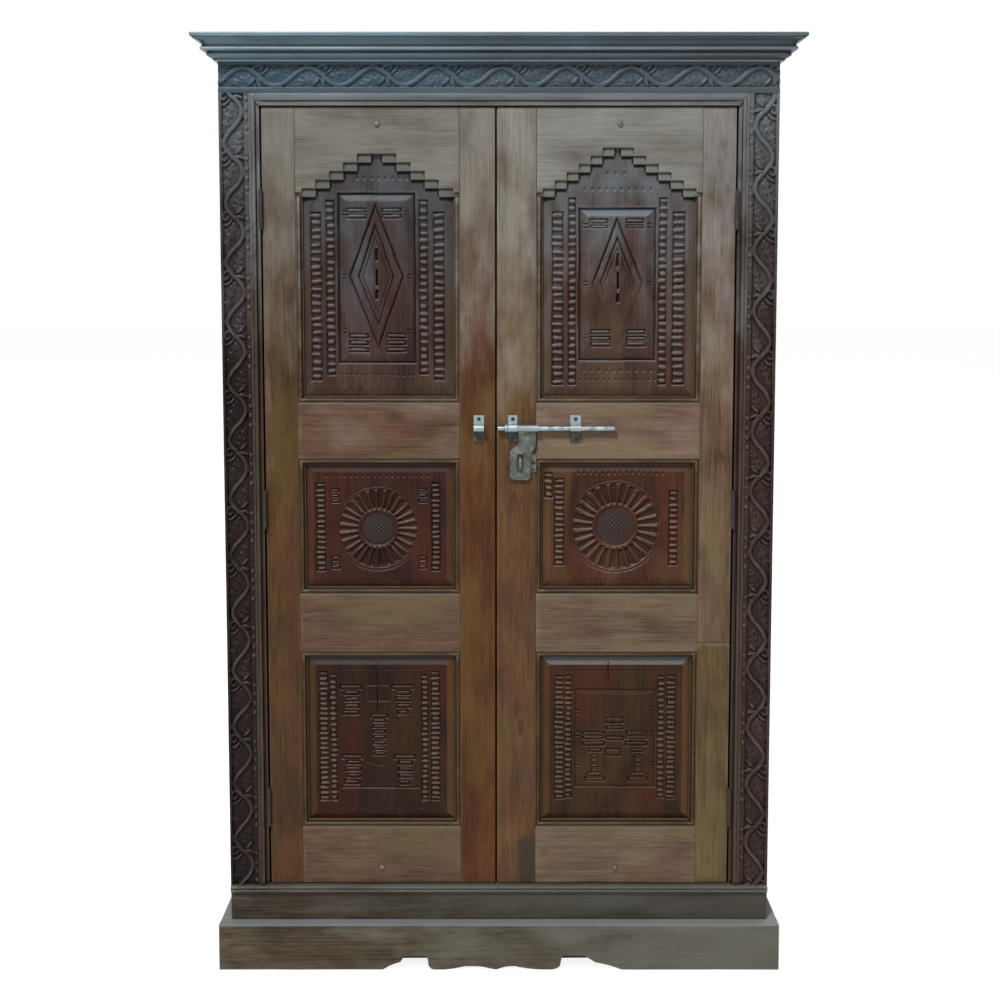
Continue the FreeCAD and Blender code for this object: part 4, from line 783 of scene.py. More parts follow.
def archSteps(side):
    # The arch's middle, the rise of each step and the tread of each side's steps
    look, (west, east) = arch[side], panels["ends"][side]
    middle = (west + east) / 2 + look["offset"]
    ends = ((-1, west + panels["beading"]), (1, east - panels["beading"]))
    treads = {sign: (sign * (end - middle) - look["peak"] / 2) / look["steps"] for sign, end in ends}
    return middle, look["rise"] / look["steps"], treads


def blurred(values, reach, axes=(0, 1)):
    # The mean over a square of the grid, or over a line of it, by running sums along each axis
    for axis in axes:
        padded = np.pad(values, [(reach + 1, reach) if a == axis else (0, 0) for a in (0, 1)], mode="edge")
        total = np.cumsum(padded, axis=axis)
        upper = np.take(total, range(2 * reach + 1, total.shape[axis]), axis=axis)
        lower = np.take(total, range(0, total.shape[axis] - 2 * reach - 1), axis=axis)
        values = (upper - lower) / (2 * reach + 1)
    return values


def sunkValues(relief, reach, depth):
    # How far each place lies below the mean height around it
    return np.clip((blurred(relief, reach) - relief) / depth + np.clip(-relief / depth, 0, 1) * 0.35, 0, 1)


def proudValues(relief, reach, start, height, axes=(0, 1)):
    # How far each place stands above the mean height around it, counted from a start
    return 0.6 * np.clip((relief - blurred(relief, reach, axes) - start) / height, 0, 1)


def slopes(x, z, outer, inner):
    # The top slope and the two side slopes of a mitred frame: 1 on them and 0 elsewhere
    west, east, foot, head = outer
    fromSide = np.minimum(x - west, east - x)
    between = (insideBox(x, z, outer) > 0) & (insideBox(x, z, inner) < 0)
    top = between & (head - z < fromSide) & (head - z < z - foot)
    besides = between & (fromSide < head - z) & (fromSide < z - foot)
    return 1.0 * top, 1.0 * besides


def ledgeShadow(x, z, side):
    # Dark below and beside each step of the arch: gone at a reach from its edge, and 1 a fade nearer to it
    (besideReach, besideFade), (underReach, underFade) = arch["besideShadow"], arch["underShadow"]
    steps, half = arch[side]["steps"], arch[side]["peak"] / 2
    middle, rise, treads = archSteps(side)
    shade = np.zeros(x.shape)
    for sign, tread in treads.items():
        out = sign * (x - middle)
        for step in range(steps):
            near, foot = half + tread * step, arch["spring"] + rise * (steps - step - 1)
            beside = np.clip((besideReach - (near - out)) / besideFade, 0, 1) * (out < near)
            beside = beside * soft(z - foot, 3) * soft(foot + rise - z, 3)
            under = np.clip((underReach - (foot - z)) / underFade, 0, 1) * soft(foot + 2 - z, 2)
            under = under * soft(out - near, 3) * soft(near + tread - out, 3)
            shade = np.maximum(shade, np.maximum(under, beside))
    return shade


def carvedPanel(side, level):
    # The face = a field raised by sloping sides inside the beading + the carving. Its side slopes carry a
    # painted highlight and its top slope a painted grey highlight.
    low, high = edgesOf(f"{level}_panel_{side}")
    (west, east), look = panels["ends"][side], panels["drawings"][side][level]
    foot, head = low[2] + panels["grooveDepth"], high[2] - panels["grooveDepth"]
    inset, bevel, border = panels["beading"], panels["bevel"], panels["border"]
    outer = (west + inset, east - inset, foot + inset, head - inset)
    stepX, stepZ = panels["steps"][level]
    xs = gridLines((low[0], outer[0], border), (outer[0], outer[1], stepX), (outer[1], high[0], border))
    zs = gridLines((low[2], outer[2], border), (outer[2], outer[3], stepZ), (outer[3], high[2], border))
    x, z = np.meshgrid(xs, zs, indexing="ij")
    edge = np.minimum(np.minimum(x - west, east - x), z - foot)
    if level != "upper":
        edge = np.minimum(edge, head - z)
    raised = panels["raise"] * np.clip((edge - inset) / bevel, 0, 1)
    offX, offZ = (wander(x, 0, z, panels["warp"], seed) for seed in (3, 5))
    relief = panels["makers"][level](x + offX, z + offZ, look)
    # sunk darkens hollows as grime and painted shade; proud, averaged only up and down, paints highlights on
    # the upper sides of level ridges, as light from above would
    sunk, proud = sunkValues(relief, 3, 4.0), proudValues(relief, 6, 1.1, 1.0, axes=(1,))
    top, besides = slopes(x, z, outer, [end + move * bevel for end, move in zip(outer, (1, -1, 1, -1))])
    # Painted highlight on the side slopes, half as strong on the west one
    bare = panels["bare"][level] * besides * np.where(x < (west + east) / 2, 0.5, 1)
    # Painted grey highlight on the top slope, as light from above gives
    ash = panels["topSheenAndAsh"][side] * top
    if level == "upper":
        top, besides = slopes(x, z, look["frameOuter"], look["frameInner"])
        # Painted shadow under and beside the arch's steps, and painted shade on the frame's side slopes
        sunk = np.maximum.reduce([sunk, ledgeShadow(x, z, side), panels["frameShade"] * besides])
        patches = soft(z - arch["spring"] - 25, 60) * np.clip(0.4 + 0.9 * smoothNoise(x, 0, z, 26, 8), 0, 1)
        # Painted grey highlight on the frame's top slope, and random grey patches above the arch
        ash = panels["topSheenAndAsh"][side] * np.maximum(top, arch["patches"][side] * patches)
    if level == "middle":
        (centreX, centreZ), dome = look["rosette"]["centre"], look["rosette"]["dome"]
        ash = panels["domeAsh"] * soft(dome - 1 - np.hypot(x - centreX, z - centreZ), 4)
    shape = reliefShape(xs, zs, -low[1] - panels["raise"] + raised + relief, high[1])
    finishPiece(f"carved_{level}_panel_{side}", f"{level}_panel_{side}", f"door_{side}",
                panels["woods"][side][level], shape, "z", panels["dents"], 80, proud,
                sunk=sunk, ash=ash, bare=bare)


for side in sides:
    for level in ("upper", "middle", "lower"):
        carvedPanel(side, level)
print("carved panels made")


# The carved frame: a vine that winds along the frieze and both stiles, with beads on its inner edge

vine = {
    "period": 120, "bandWidth": 50, "rim": 5.5,
    "stem": [(0, 27), (8, 36), (20, 44), (36, 45), (50, 38), (62, 28), (74, 18), (88, 11), (99, 12),
             (109, 18), (120, 27)],
    "stemWidth": 5.0,
    "curls": [([(2, 26), (-6, 22), (-10, 14), (-6, 7), (2, 6), (6, 11), (2, 15)],
               (3.4, 3.2, 3.0, 3.0, 3.0, 2.8, 2.4)),
              ([(1, 29), (-1, 38), (2, 47)], (3.6, 4.4, 2.6)),
              ([(-8, 33), (-13, 39), (-19, 45)], (2.8, 3.8, 1.6)),
              ([(8, 22), (15, 14), (17, 7)], (2.6, 3.4, 1.4))],
    "leaves": [([(16, 26), (30, 22), (46, 16), (62, 9)], 9), ([(108, 34), (97, 34), (84, 38), (70, 44)], 8)],
    "leafHeight": 0.48,
    "beadOffsets": (4, 24, 43, 62), "beadRadius": 4.8, "beadRow": 5, "beadBed": 3.0,
    "wavesAlong": ((1.6, 60), (0.6, 14)), "wavesAcross": ((1.4, 60), (0.6, 14)),
    "step": 1.35, "stileGround": 5.4, "friezeGround": 3.6, "ashFrom": 1560,
    "left": {"period": 119.6, "node": 1676}, "right": {"period": 123.1, "node": 1769},
    "frieze": {"period": 128.7, "node": -92},
}


def smoothLine(points, samples=7):
    # A Catmull-Rom curve: each stretch bends by half the chord across its ends
    points = np.asarray(points, float)
    padded = np.concatenate([[2 * points[0] - points[1]], points, [2 * points[-1] - points[-2]]])
    t = np.arange(samples)[:, None] / samples
    pieces = []
    for a, b, c, d in zip(padded[:-3], padded[1:-2], padded[2:-1], padded[3:]):
        pieces.append(0.5 * (2 * b + (c - a) * t + (2 * a - 5 * b + 4 * c - d) * t ** 2
                             + (3 * b - a - 3 * c + d) * t ** 3))
    return np.concatenate(pieces + [points[-1:]])


def leafStrokes(midrib, length, count=3):
    # A midrib with pairs of rounded lobes: each lobe leans 50 degrees from the midrib and shortens to the tip
    line = smoothLine(midrib)
    strokes = [(midrib, np.linspace(4.4, 2.4, len(midrib)))]
    for index in range(count):
        start = int((index + 0.4) / count * (len(line) - 1))
        here = line[start]
        ahead = line[min(start + 2, len(line) - 1)] - here
        heading, reach = math.atan2(ahead[1], ahead[0]), length * (1 - 0.12 * index)
        for lean in (-0.9, 0.9):
            tip = here + reach * np.array([math.cos(heading + lean), math.sin(heading + lean)])
            strokes.append(([here, (here + tip) / 2, tip], (3.4, 4.4, 2.6)))
    return strokes


def stroke(s, t, points, widths):
    # A rounded ridge along a smooth line, 1 at its crest and 0 at its sides
    line = smoothLine(np.column_stack([points, widths]))
    best = np.zeros(s.shape)
    for here, there in zip(line[:-1], line[1:]):
        alongS, alongT, growth = there - here
        near = abs(s - (here[0] + there[0]) / 2) < 12
        fromS, fromT = s[near] - here[0], t[near] - here[1]
        share = np.clip((fromS * alongS + fromT * alongT) / (alongS ** 2 + alongT ** 2 + 1e-9), 0, 1)
        gap = np.hypot(fromS - share * alongS, fromT - share * alongT)
        ridge = np.clip(1 - (gap / (here[2] + growth * share)) ** 2, 0, 1) ** 0.42
        best[near] = np.maximum(best[near], ridge)
    return best


def vineRelief(s, t, ground, beaded):
    # Depths over one repeat of the vine: the highest of all its ridges above a sunk ground
    period, band = vine["period"], vine["bandWidth"]
    local = np.mod(s + wander(s, t, 0, vine["wavesAlong"], 21), period)
    wavyT = t + wander(s, t, 0, vine["wavesAcross"], 23)
    strokes = [(vine["stem"], [vine["stemWidth"]] * len(vine["stem"]), 1.0)]
    strokes += [(points, widths, 0.97) for points, widths in vine["curls"]]
    for leaf in vine["leaves"]:
        strokes += [(points, widths, vine["leafHeight"]) for points, widths in leafStrokes(*leaf)]
    height = np.zeros(s.shape)
    for points, widths, top in strokes:
        for turn in (-period, 0, period):
            height = np.maximum(height, top * stroke(local + turn, wavyT, points, widths))
    height = height * (1 + 0.12 * smoothNoise(s, t, 0, 25, 26)) - 0.06
    bottom = -ground * (1 + 0.14 * smoothNoise(s, t, 0, 5, 25))
    veins = abs(smoothNoise(s * 1.3 + t, t - s * 0.4, 0, 5, 27)) * (height > 0.2) * (height < 0.6)
    rim = np.maximum(soft(vine["rim"] - t, 1.4), soft(t - band, 1.4))
    relief = (np.minimum(bottom * (1 - height), 0) - 0.7 * veins) * (1 - rim)
    if beaded:
        offsets, along = vine["beadOffsets"], np.mod(s, period)
        gap = np.minimum.reduce([np.hypot(along - offset, t - band - vine["beadRow"]) for offset in offsets])
        bead = np.sqrt(np.clip(1 - (gap / vine["beadRadius"]) ** 2, 0, 1))
        past = np.mod(along + 9 - offsets[0], period)
        run = soft(past - 1, 7) * soft(offsets[-1] + 14 - past, 7)
        relief = relief - vine["beadBed"] * soft(t - band - 0.5, 2.4) * (0.35 + 0.65 * run) * (1 - bead)
    return relief


def alongVine(place, node, period):
    # The place along the vine in its own length, a whole number of repeats above nought
    return (place - node) * vine["period"] / period + 40 * vine["period"]


def carvedStile(side, finish):
    # One upright of the frame, its vine climbing at the outer edge, with a painted grey reflection of the
    # light above on its upper end
    low, high = edgesOf(f"frame_stile_{side}")
    xs, zs = (gridLines((low[axis], high[axis], vine["step"])) for axis in (0, 2))
    x, z = np.meshgrid(xs, zs, indexing="ij")
    across = x - low[0] if side == "left" else high[0] - x
    along = alongVine(-z, -vine[side]["node"], vine[side]["period"])
    relief = vineRelief(along, across, vine["stileGround"], True)
    # Painted grey reflection of the light above, rising over the upper end
    upperSheen = (z + 20 * smoothNoise(x, z, 0, 50, 31) - vine["ashFrom"]) / (high[2] - vine["ashFrom"])
    shape = reliefShape(xs, zs, -low[1] + relief, high[1])
    # sunk darkens the vine's ground as grime and painted shade; proud rubs its crests pale
    finishPiece(f"vine_stile_{side}", f"frame_stile_{side}", "cabinet", finish, shape, "z", 0.3, 80,
                proudValues(relief, 8, 0.6, 3.0), sunk=sunkValues(relief, 3, 5.0),
                ash=0.85 * np.clip(upperSheen, 0, 1))


def carvedFrieze():
    # The head of the frame: its vine runs up to the foot of the cornice
    low, high = edgesOf("frame_head")
    top = edgesOf("cornice_front")[0][2]
    xs = gridLines((low[0], high[0], vine["step"]))
    zs = gridLines((low[2], top, vine["step"]), (top, high[2], 10))
    x, z = np.meshgrid(xs, zs, indexing="ij")
    relief = vineRelief(alongVine(x, **vine["frieze"]), top - z, vine["friezeGround"], False)
    relief = np.where(z > top, 0, relief)
    shape = reliefShape(xs, zs, -low[1] + relief, high[1])
    # sunk darkens the vine's ground as grime and painted shade
    finishPiece("vine_frieze", "frame_head", "cabinet", "friezeTeak", shape, "x", 0.3, 80,
                proudValues(relief, 8, 0.4, 2.6), sunk=sunkValues(relief, 3, 4.0))


carvedStile("left", "carvedFrameTeak")
carvedStile("right", "rightVineTeak")
carvedFrieze()
print("vine frame carved")


# Plain boards: stiles and rails of the doors, carcass, shelves and base

greyPatches = {"meeting_stile_right": {"box": (38, 90, 150, 266), "strength": 0.8}}


def plainBoard(node, along, body, finish, radius=1.6, dents=0.5, low=None, high=None, name=None):
    # A board in the node's own box, or between other corners
    nodeLow, nodeHigh = edgesOf(node)
    low, high = nodeLow if low is None else low, nodeHigh if high is None else high
    shape, shades = boardShape(low, high, along, radius), {}
    if node in greyPatches:
        x, z = shape[0][:, 0], shape[0][:, 2]
        inside = insideBox(x, z, greyPatches[node]["box"]) + 7 * smoothNoise(x, 0, z, 22, 41)
        shades["ash"] = greyPatches[node]["strength"] * soft(inside, 14)
    finishPiece(name or f"worn_{node}", node, body, finish, shape, along, dents, None, **shades)


splice = {"height": 683, "gap": 0.4}
stileWoods = {"left": "meetingStileTeak", "right": "rightMeetingTeak"}
railWoods = {"left": "doorRailTeak", "right": "rightRailTeak", "lock_rail_right": "paleRailTeak"}
for side in sides:
    plainBoard(f"meeting_stile_{side}", "z", f"door_{side}", stileWoods[side], 2.2)
    for rail in ("lock", "lower", "bottom"):
        node = f"{rail}_rail_{side}"
        low, high = edgesOf(node)
        low[0], high[0] = panels["ends"][side]
        plainBoard(node, "x", f"door_{side}", railWoods.get(node, railWoods[side]), 1.8, 0.5, low, high)
plainBoard("hinge_stile_left", "z", "door_left", "doorStileTeak", 2.2)
low, high = edgesOf("hinge_stile_right")
upperLow, lowerHigh = low.copy(), high.copy()
upperLow[2], lowerHigh[2] = splice["height"] + splice["gap"], splice["height"] - splice["gap"]
plainBoard("hinge_stile_right", "z", "door_right", "paleStileTeak", 2.2, 0.5, upperLow, high)
plainBoard("hinge_stile_right", "z", "door_right", "splicedTeak", 1.6, 0.5, low, lowerHigh,
           "spliced_foot_of_stile")
for node in ("side_panel_left", "side_panel_right", "top_board", "bottom_board", "shelf_lower",
             "shelf_middle", "shelf_upper"):
    plainBoard(node, "z" if "panel" in node else "x", "cabinet", "carcassTeak")
plainBoard("base_rail", "x", "cabinet", "baseTeak", 2.0, 0.7)
for node, along in (("plinth_left", "y"), ("plinth_right", "y"), ("plinth_back", "x")):
    plainBoard(node, along, "cabinet", "plinthTeak", 2.0, 0.7)

backRow = {"count": 6, "gap": 0.6}
backLow, backHigh = edgesOf("back_boards")
boardWidth = (backHigh[0] - backLow[0] + backRow["gap"]) / backRow["count"]
backShapes = []
for index in range(backRow["count"]):
    west = backLow[0] + boardWidth * index
    east = west + boardWidth - backRow["gap"]
    backShapes.append(boardShape((west, *backLow[1:]), (east, *backHigh[1:]), "z", 1.2))
finishPiece("worn_back_boards", "back_boards", "cabinet", "carcassTeak", merged(backShapes), "z", 0.4, None)
print("boards made")


# Top rails with their stepped arches

def cellShape(xs, ys, zs, filled):
    # Every face between a filled and an empty cell of a grid, as quads that share their corners
    padded = np.pad(filled, 1)
    rowSize, cellSize = len(ys) * len(zs), len(zs)
    steps = np.eye(3, dtype=int)
    quads = []
    for axis in range(3):
        before, after = [slice(1, -1)] * 3, [slice(1, -1)] * 3
        before[axis], after[axis] = slice(None, -1), slice(1, None)
        solidBefore, solidAfter = padded[tuple(before)], padded[tuple(after)]
        first, second = steps[(axis + 1) % 3], steps[(axis + 2) % 3]
        for mask, turn in ((solidBefore & ~solidAfter, 1), (~solidBefore & solidAfter, -1)):
            start = np.argwhere(mask)
            corners = [start, start + first, start + first + second, start + second][::turn]
            quads.append(np.stack([corner @ (rowSize, cellSize, 1) for corner in corners], axis=1))
    quads = np.concatenate(quads)
    used, quads = np.unique(quads, return_inverse=True)
    places = np.stack([xs[used // rowSize], ys[used // cellSize % len(ys)], zs[used % cellSize]], axis=1)
    return places, quads.reshape(-1, 4).tolist()


def addBevel(piece, width):
    # Rounds every edge sharper than 40 degrees in two steps
    bevel = piece.modifiers.new("round", "BEVEL")
    bevel.width, bevel.segments, bevel.limit_method, bevel.angle_limit = width, 2, "ANGLE", math.radians(40)


def rounded(shape, width):
    # The arrays of a shape after its sharp edges are rounded
    mesh = bpy.data.meshes.new("sharp")
    mesh.from_pydata(shape[0].tolist(), [], shape[1])
    holder = newObject("sharp", mesh)
    addBevel(holder, width)
    result = bpy.data.meshes.new_from_object(holder.evaluated_get(bpy.context.evaluated_depsgraph_get()))
    places = np.empty(len(result.vertices) * 3, np.float32)
    result.vertices.foreach_get("co", places)
    faces = [list(face.vertices) for face in result.polygons]
    bpy.data.objects.remove(holder)
    bpy.data.meshes.remove(mesh)
    bpy.data.meshes.remove(result)
    return places.reshape(-1, 3).astype(float), faces


def archedRail(side):
    # Cells of a grid are cut away: below the steps, in front of the ledge that they leave, and in the pocket
    # for the panel's top
    (west, east), look, foot = panels["ends"][side], arch[side], arch["spring"]
    low, high = edgesOf(f"top_rail_{side}")
    middle, rise, treads = archSteps(side)
    lines = {west, east, west + panels["beading"], east - panels["beading"]}
    for sign, tread in treads.items():
        lines |= {middle + sign * (look["peak"] / 2 + tread * step) for step in range(look["steps"])}
    pocketTop = foot + look["rise"] + arch["pocketOver"]
    levels = {foot, foot + arch["ledgeDrop"], pocketTop, high[2]}
    levels |= {foot + rise * step for step in range(1, look["steps"] + 1)}
    xs, zs = (gridLines(*[(a, b, arch["cell"]) for a, b in zip(sorted(ends)[:-1], sorted(ends)[1:])])
              for ends in (lines, levels))
    ys = np.array([low[1], low[1] + arch["ledgeDepth"], *(low[1] + np.array(arch["pocketSpan"])), high[1]])

    def opening(x, fewer):
        # The height of the arch over each place, or of the step that many nearer to the peak
        tread = np.where(x < middle, treads[-1], treads[1])
        taken = np.floor((abs(x - middle) - look["peak"] / 2) / tread) + 1 - fewer
        return foot + rise * (look["steps"] - np.clip(taken, 0, look["steps"]))

    x, y, z = np.meshgrid(*[(line[:-1] + line[1:]) / 2 for line in (xs, ys, zs)], indexing="ij")
    ledge = np.maximum(opening(x, 1), foot + arch["ledgeDrop"])
    pocket = (y > ys[2]) & (y < ys[3]) & (z < pocketTop)
    filled = (z > opening(x, 0)) & ~((y < ys[1]) & (z < ledge)) & ~pocket
    points, faces = rounded(cellShape(xs, ys, zs, filled), arch["round"])
    x, behind, z = points[:, 0], points[:, 1] - ys[0], points[:, 2]
    onLedge = (behind > arch["ledgeSpan"][0]) & (behind < arch["ledgeSpan"][1])
    onLedge = onLedge & (z < foot + look["rise"] + 2) & (x > west - 1) & (x < east + 1)
    # Painted shadow on the ledge under each step, darkest at its upper edge
    sunk = arch["ledgeShade"] * onLedge * np.clip(1 - (opening(x, 1) - z - 2) / 8, 0.12, 1)
    finishPiece(f"arched_rail_{side}", f"top_rail_{side}", f"door_{side}", railWoods[side], (points, faces),
                "x", 0.4, sunk=sunk, ash=arch["ledgeAsh"] * onLedge)


archedRail("left")
archedRail("right")
print("arched rails made")


# Beading, from the frame inwards: a fillet, a broad round bead and a low flat margin, with painted shade in
# the crease beside the bead and on the margin, where it drops to the panel

beading = {
    "fillet": [(0, 0), (0, 11.2), (0.5, 11.7), (1.5, 11.7), (1.9, 11.0)],
    "beadMiddle": (5.6, 8.6), "beadRadii": (3.6, 3.5),
    "margin": [(9.6, 6.4), (10.4, 5.4), (13, 5.2), (13, 0)],
    "insets": (0, 1.5, 1.9, 2.6, 8.0, 9.4, 13), "shades": (0, 0, 0.5, 0, 0.05, 0.95, 0.95),
}
turn = np.radians(np.linspace(160, 5, 9))[:, None]
bead = beading["beadMiddle"] + np.hstack([np.cos(turn), np.sin(turn)]) * beading["beadRadii"]
beadingProfile = np.concatenate([beading["fillet"], bead, beading["margin"]])


def beadingShape(west, east, foot, head, back, opened=False):
    # The profile carried round three or four sides of an opening: each point keeps its own inset
    inset, height = beadingProfile.T
    west, east, foot, head = west + inset, east - inset, foot + inset, head - inset * (not opened)
    corners = [np.stack([x, back - height, z], 1)
               for x, z in ((west, head), (west, foot), (east, foot), (east, head), (west, head))]
    return [carried(start, end, 14, 0.2) for start, end in list(zip(corners, corners[1:]))[:4 - opened]]


for side in sides:
    west, east = panels["ends"][side]
    back = edgesOf(f"panel_beading_{side}")[1][1]
    bottom, lower, lock = ([corner[2] for corner in edgesOf(f"{rail}_rail_{side}")]
                           for rail in ("bottom", "lower", "lock"))
    strips = beadingShape(west, east, bottom[1], lower[0], back)
    strips += beadingShape(west, east, lower[1], lock[0], back)
    strips += beadingShape(west, east, lock[1], arch["spring"], back, True)
    # Painted shade across the profile: in the crease beside the bead and on the margin
    shade = np.interp(beadingProfile[:, 0], beading["insets"], beading["shades"])
    sunk = np.concatenate([np.tile(shade, len(points) // len(shade)) for points, faces in strips])
    finishPiece(f"moulded_beading_{side}", f"panel_beading_{side}", f"door_{side}", "beadingTeak",
                merged(strips), "x", 0.3, sunk=sunk)


# Jambs: two uprights and a head, mitred where they meet, with a quirk beside the face and a lower step inside

jamb = {"outer": 500, "inner": 480, "lip": 8, "step": 6, "headHeight": 25, "headLip": 10, "headStep": 1.4}
(_, front, foot), (_, back, head) = edgesOf("jamb_left")
slope = jamb["headHeight"] / (jamb["outer"] - jamb["inner"])


def jambProfile(width, lip, drop, start, quirk):
    # From the outer side inwards: the edge, the face, then the lower step
    face = width - lip
    return shortened([*start, (face - 1, front), (face, front + quirk), (face, front + drop),
                      (width, front + drop), (width, back), (0, back)], 8)


def jambRing(sign, across, y, height):
    # A jamb's profile as points, measured from its outer side inwards
    return np.stack([sign * (jamb["outer"] - across), y, height + 0 * across], 1)


across, y = jambProfile(jamb["outer"] - jamb["inner"], jamb["lip"], jamb["step"],
                        [(0, front), (4, front), (4.8, front + 1), (5.6, front)], 1).T
for side, sign in (("left", -1), ("right", 1)):
    ends = [jambRing(sign, across, y, height) for height in (foot, head - slope * across)]
    shape = carried(*ends, 12, 0.3)
    finishPiece(f"stepped_jamb_{side}", f"jamb_{side}", "cabinet", "jambTeak", shape, "z", 0.35)
down, y = jambProfile(jamb["headHeight"], jamb["headLip"], jamb["headStep"],
                      [(0, front + 0.8), (1.2, front)], 0.8).T
ends = [jambRing(sign, down / slope, y, head - down) for sign in (-1, 1)]
finishPiece("stepped_jamb_head", "jamb_head", "cabinet", "jambTeak", carried(*ends, 12, 0.3), "x", 0.35)


# Cornice, from the body outwards and up: fillet, ovolo, quirk, bead with a sloped top, cove, quirk, fillet

cornice = {"body": 560}


def arcThrough(first, middle, last, count=8):
    # A parabola through three points, close to the arc of a moulding plane
    t = np.linspace(0, 1, count)[:, None]
    first, middle, last = map(np.array, (first, middle, last))
    return first * (1 - t) * (1 - 2 * t) + 4 * middle * t * (1 - t) + last * t * (2 * t - 1)


corniceProfile = np.concatenate([
    [(0, 0), (6, 0), (6.8, 0.8), (7.2, 4.8)], arcThrough((8.4, 5.4), (15.6, 8.0), (18.2, 12.2)),
    [(17.9, 13.8), (16.2, 15.0), (17.0, 16.4)], arcThrough((20.4, 18.0), (26.8, 18.6), (28.6, 22.0)),
    [(28.0, 24.0), (24.4, 28.6)], arcThrough((24.8, 29.6), (29.8, 36.4), (39.6, 39.8)),
    [(41.4, 40.2), (41.0, 41.6), (43.4, 42.4)], arcThrough((44.6, 43.4), (45, 47), (44.4, 50)),
    [(43, 51), (0, 51)],
])
out, up = shortened(corniceProfile, 9).T
foot, rear = edgesOf("cornice_front")[0][2], edgesOf("cornice_left")[1][1]
frontEnds = [np.stack([sign * (cornice["body"] + out), faceY - out, foot + up], 1) for sign in (-1, 1)]
finishPiece("moulded_cornice_front", "cornice_front", "cabinet", "corniceTeak", carried(*frontEnds, 12, 0.2),
            "x", 0.4)
for side, mitre in zip(sides, frontEnds):
    rearEnd = mitre.copy()
    rearEnd[:, 1] = rear
    finishPiece(f"moulded_cornice_{side}", f"cornice_{side}", "cabinet", "corniceTeak",
                carried(mitre, rearEnd, 12, 0.2), "y", 0.4)


# Base: a strip of two beads under the doors and the scalloped plinth

beadRadius = 3.5
low, high = edgesOf("sill_strip")
turn = np.radians(np.linspace(-90, 90, 9))
bead = np.stack([1 - np.cos(turn), 1 + np.sin(turn)], 1) * beadRadius + low[1:]
back = [(high[1], high[2]), (high[1], low[2])]
twoBeads = shortened(np.concatenate([bead, bead[1:] + [0, 2 * beadRadius], back]), 8)
sillEnds = [np.column_stack([np.full(len(twoBeads), end), twoBeads]) for end in (low[0], high[0])]
finishPiece("two_bead_strip", "sill_strip", "cabinet", "baseTeak", carried(*sillEnds, 12, 0.4), "x", 0.4)


def scallopedPlinth():
    # A board carried along X whose lower edge follows the node's scallops: z runs from the scallop to the top
    low, high = edgesOf("plinth_front")
    places = np.array([vertex.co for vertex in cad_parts["plinth_front"].data.vertices]) / mm
    scallop = places[(places[:, 2] < 40) & (places[:, 1] < low[1] + 1)]
    scallop = scallop[np.argsort(scallop[:, 0])]
    profile = roundedRectangle(low[1:], high[1:], 2.2, 8)
    stations = gridLines((low[0], high[0], 2.4))
    share = (profile[:, 1] - low[2]) / (high[2] - low[2])
    foot = np.interp(stations, scallop[:, 0], scallop[:, 2])[:, None]
    z = foot + (high[2] - foot) * share
    points = np.stack([stations[:, None] + 0 * z, profile[:, 0] + 0 * z, z], axis=-1)
    return points.reshape(-1, 3), tubeFaces(len(stations), len(profile))


finishPiece("scalloped_plinth_front", "plinth_front", "cabinet", "plinthTeak", scallopedPlinth(), "x", 0.7)
print("mouldings made")


# Latch, hinges and pegs

def turned(profile, axis, centre, segments):
    # A profile of (along, radius) turned round a line parallel to an axis, closed at both ends
    along, radius = np.repeat(np.asarray(profile, float), segments, axis=0).T
    turn = np.tile(np.arange(segments) * 2 * math.pi / segments, len(profile))
    places = [centre[0] + radius * np.cos(turn), centre[1] + radius * np.sin(turn)]
    places.insert(axis, along)
    return np.stack(places, axis=1), tubeFaces(len(profile), segments)


def softenedCopy(node, name, body, finish, width):
    # The node's own shape, its triangles joined again and its sharp edges rounded by a bevel
    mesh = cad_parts[node].data.copy()
    mesh.name = name
    work = bmesh.new()
    work.from_mesh(mesh)
    bmesh.ops.remove_doubles(work, verts=work.verts, dist=0.000002)
    bmesh.ops.dissolve_limit(work, angle_limit=math.radians(1), verts=work.verts, edges=work.edges)
    work.to_mesh(mesh)
    work.free()
    mesh.shade_smooth()
    mesh.set_sharp_from_angle(angle=math.radians(35))
    addBevel(placePiece(name, node, body, finish, mesh), width * mm)


bolt = {"end": [(0, 2.6), (0.7, 4.0), (2.0, 4.8), (4.0, 5.0)], "radius": 5.0, "plainFrom": 10, "rings": 30}
low, high = edgesOf("latch_bolt")
boltEnd = np.array(bolt["end"])
plain = np.linspace(low[0] + bolt["plainFrom"], high[0] - bolt["plainFrom"], bolt["rings"])
rod = np.concatenate([boltEnd + [low[0], 0], [(place, bolt["radius"]) for place in plain],
                      (boltEnd * [-1, 1] + [high[0], 0])[::-1]])
finishPiece("steel_bolt", "latch_bolt", "bolt", "drawnSteel", turned(rod, 0, (low + high)[1:] / 2, 24),
            "x", 0.12, dentSize=18)
softenedCopy("latch_keeper", "steel_keeper", "door_left", "strapSteel", 0.5)
softenedCopy("latch_guides", "steel_guides", "door_right", "strapSteel", 0.5)
softenedCopy("latch_hasp", "iron_hasp", "hasp", "haspIron", 0.6)
softenedCopy("padlock_eye", "iron_padlock_eye", "door_right", "dullIron", 0.5)

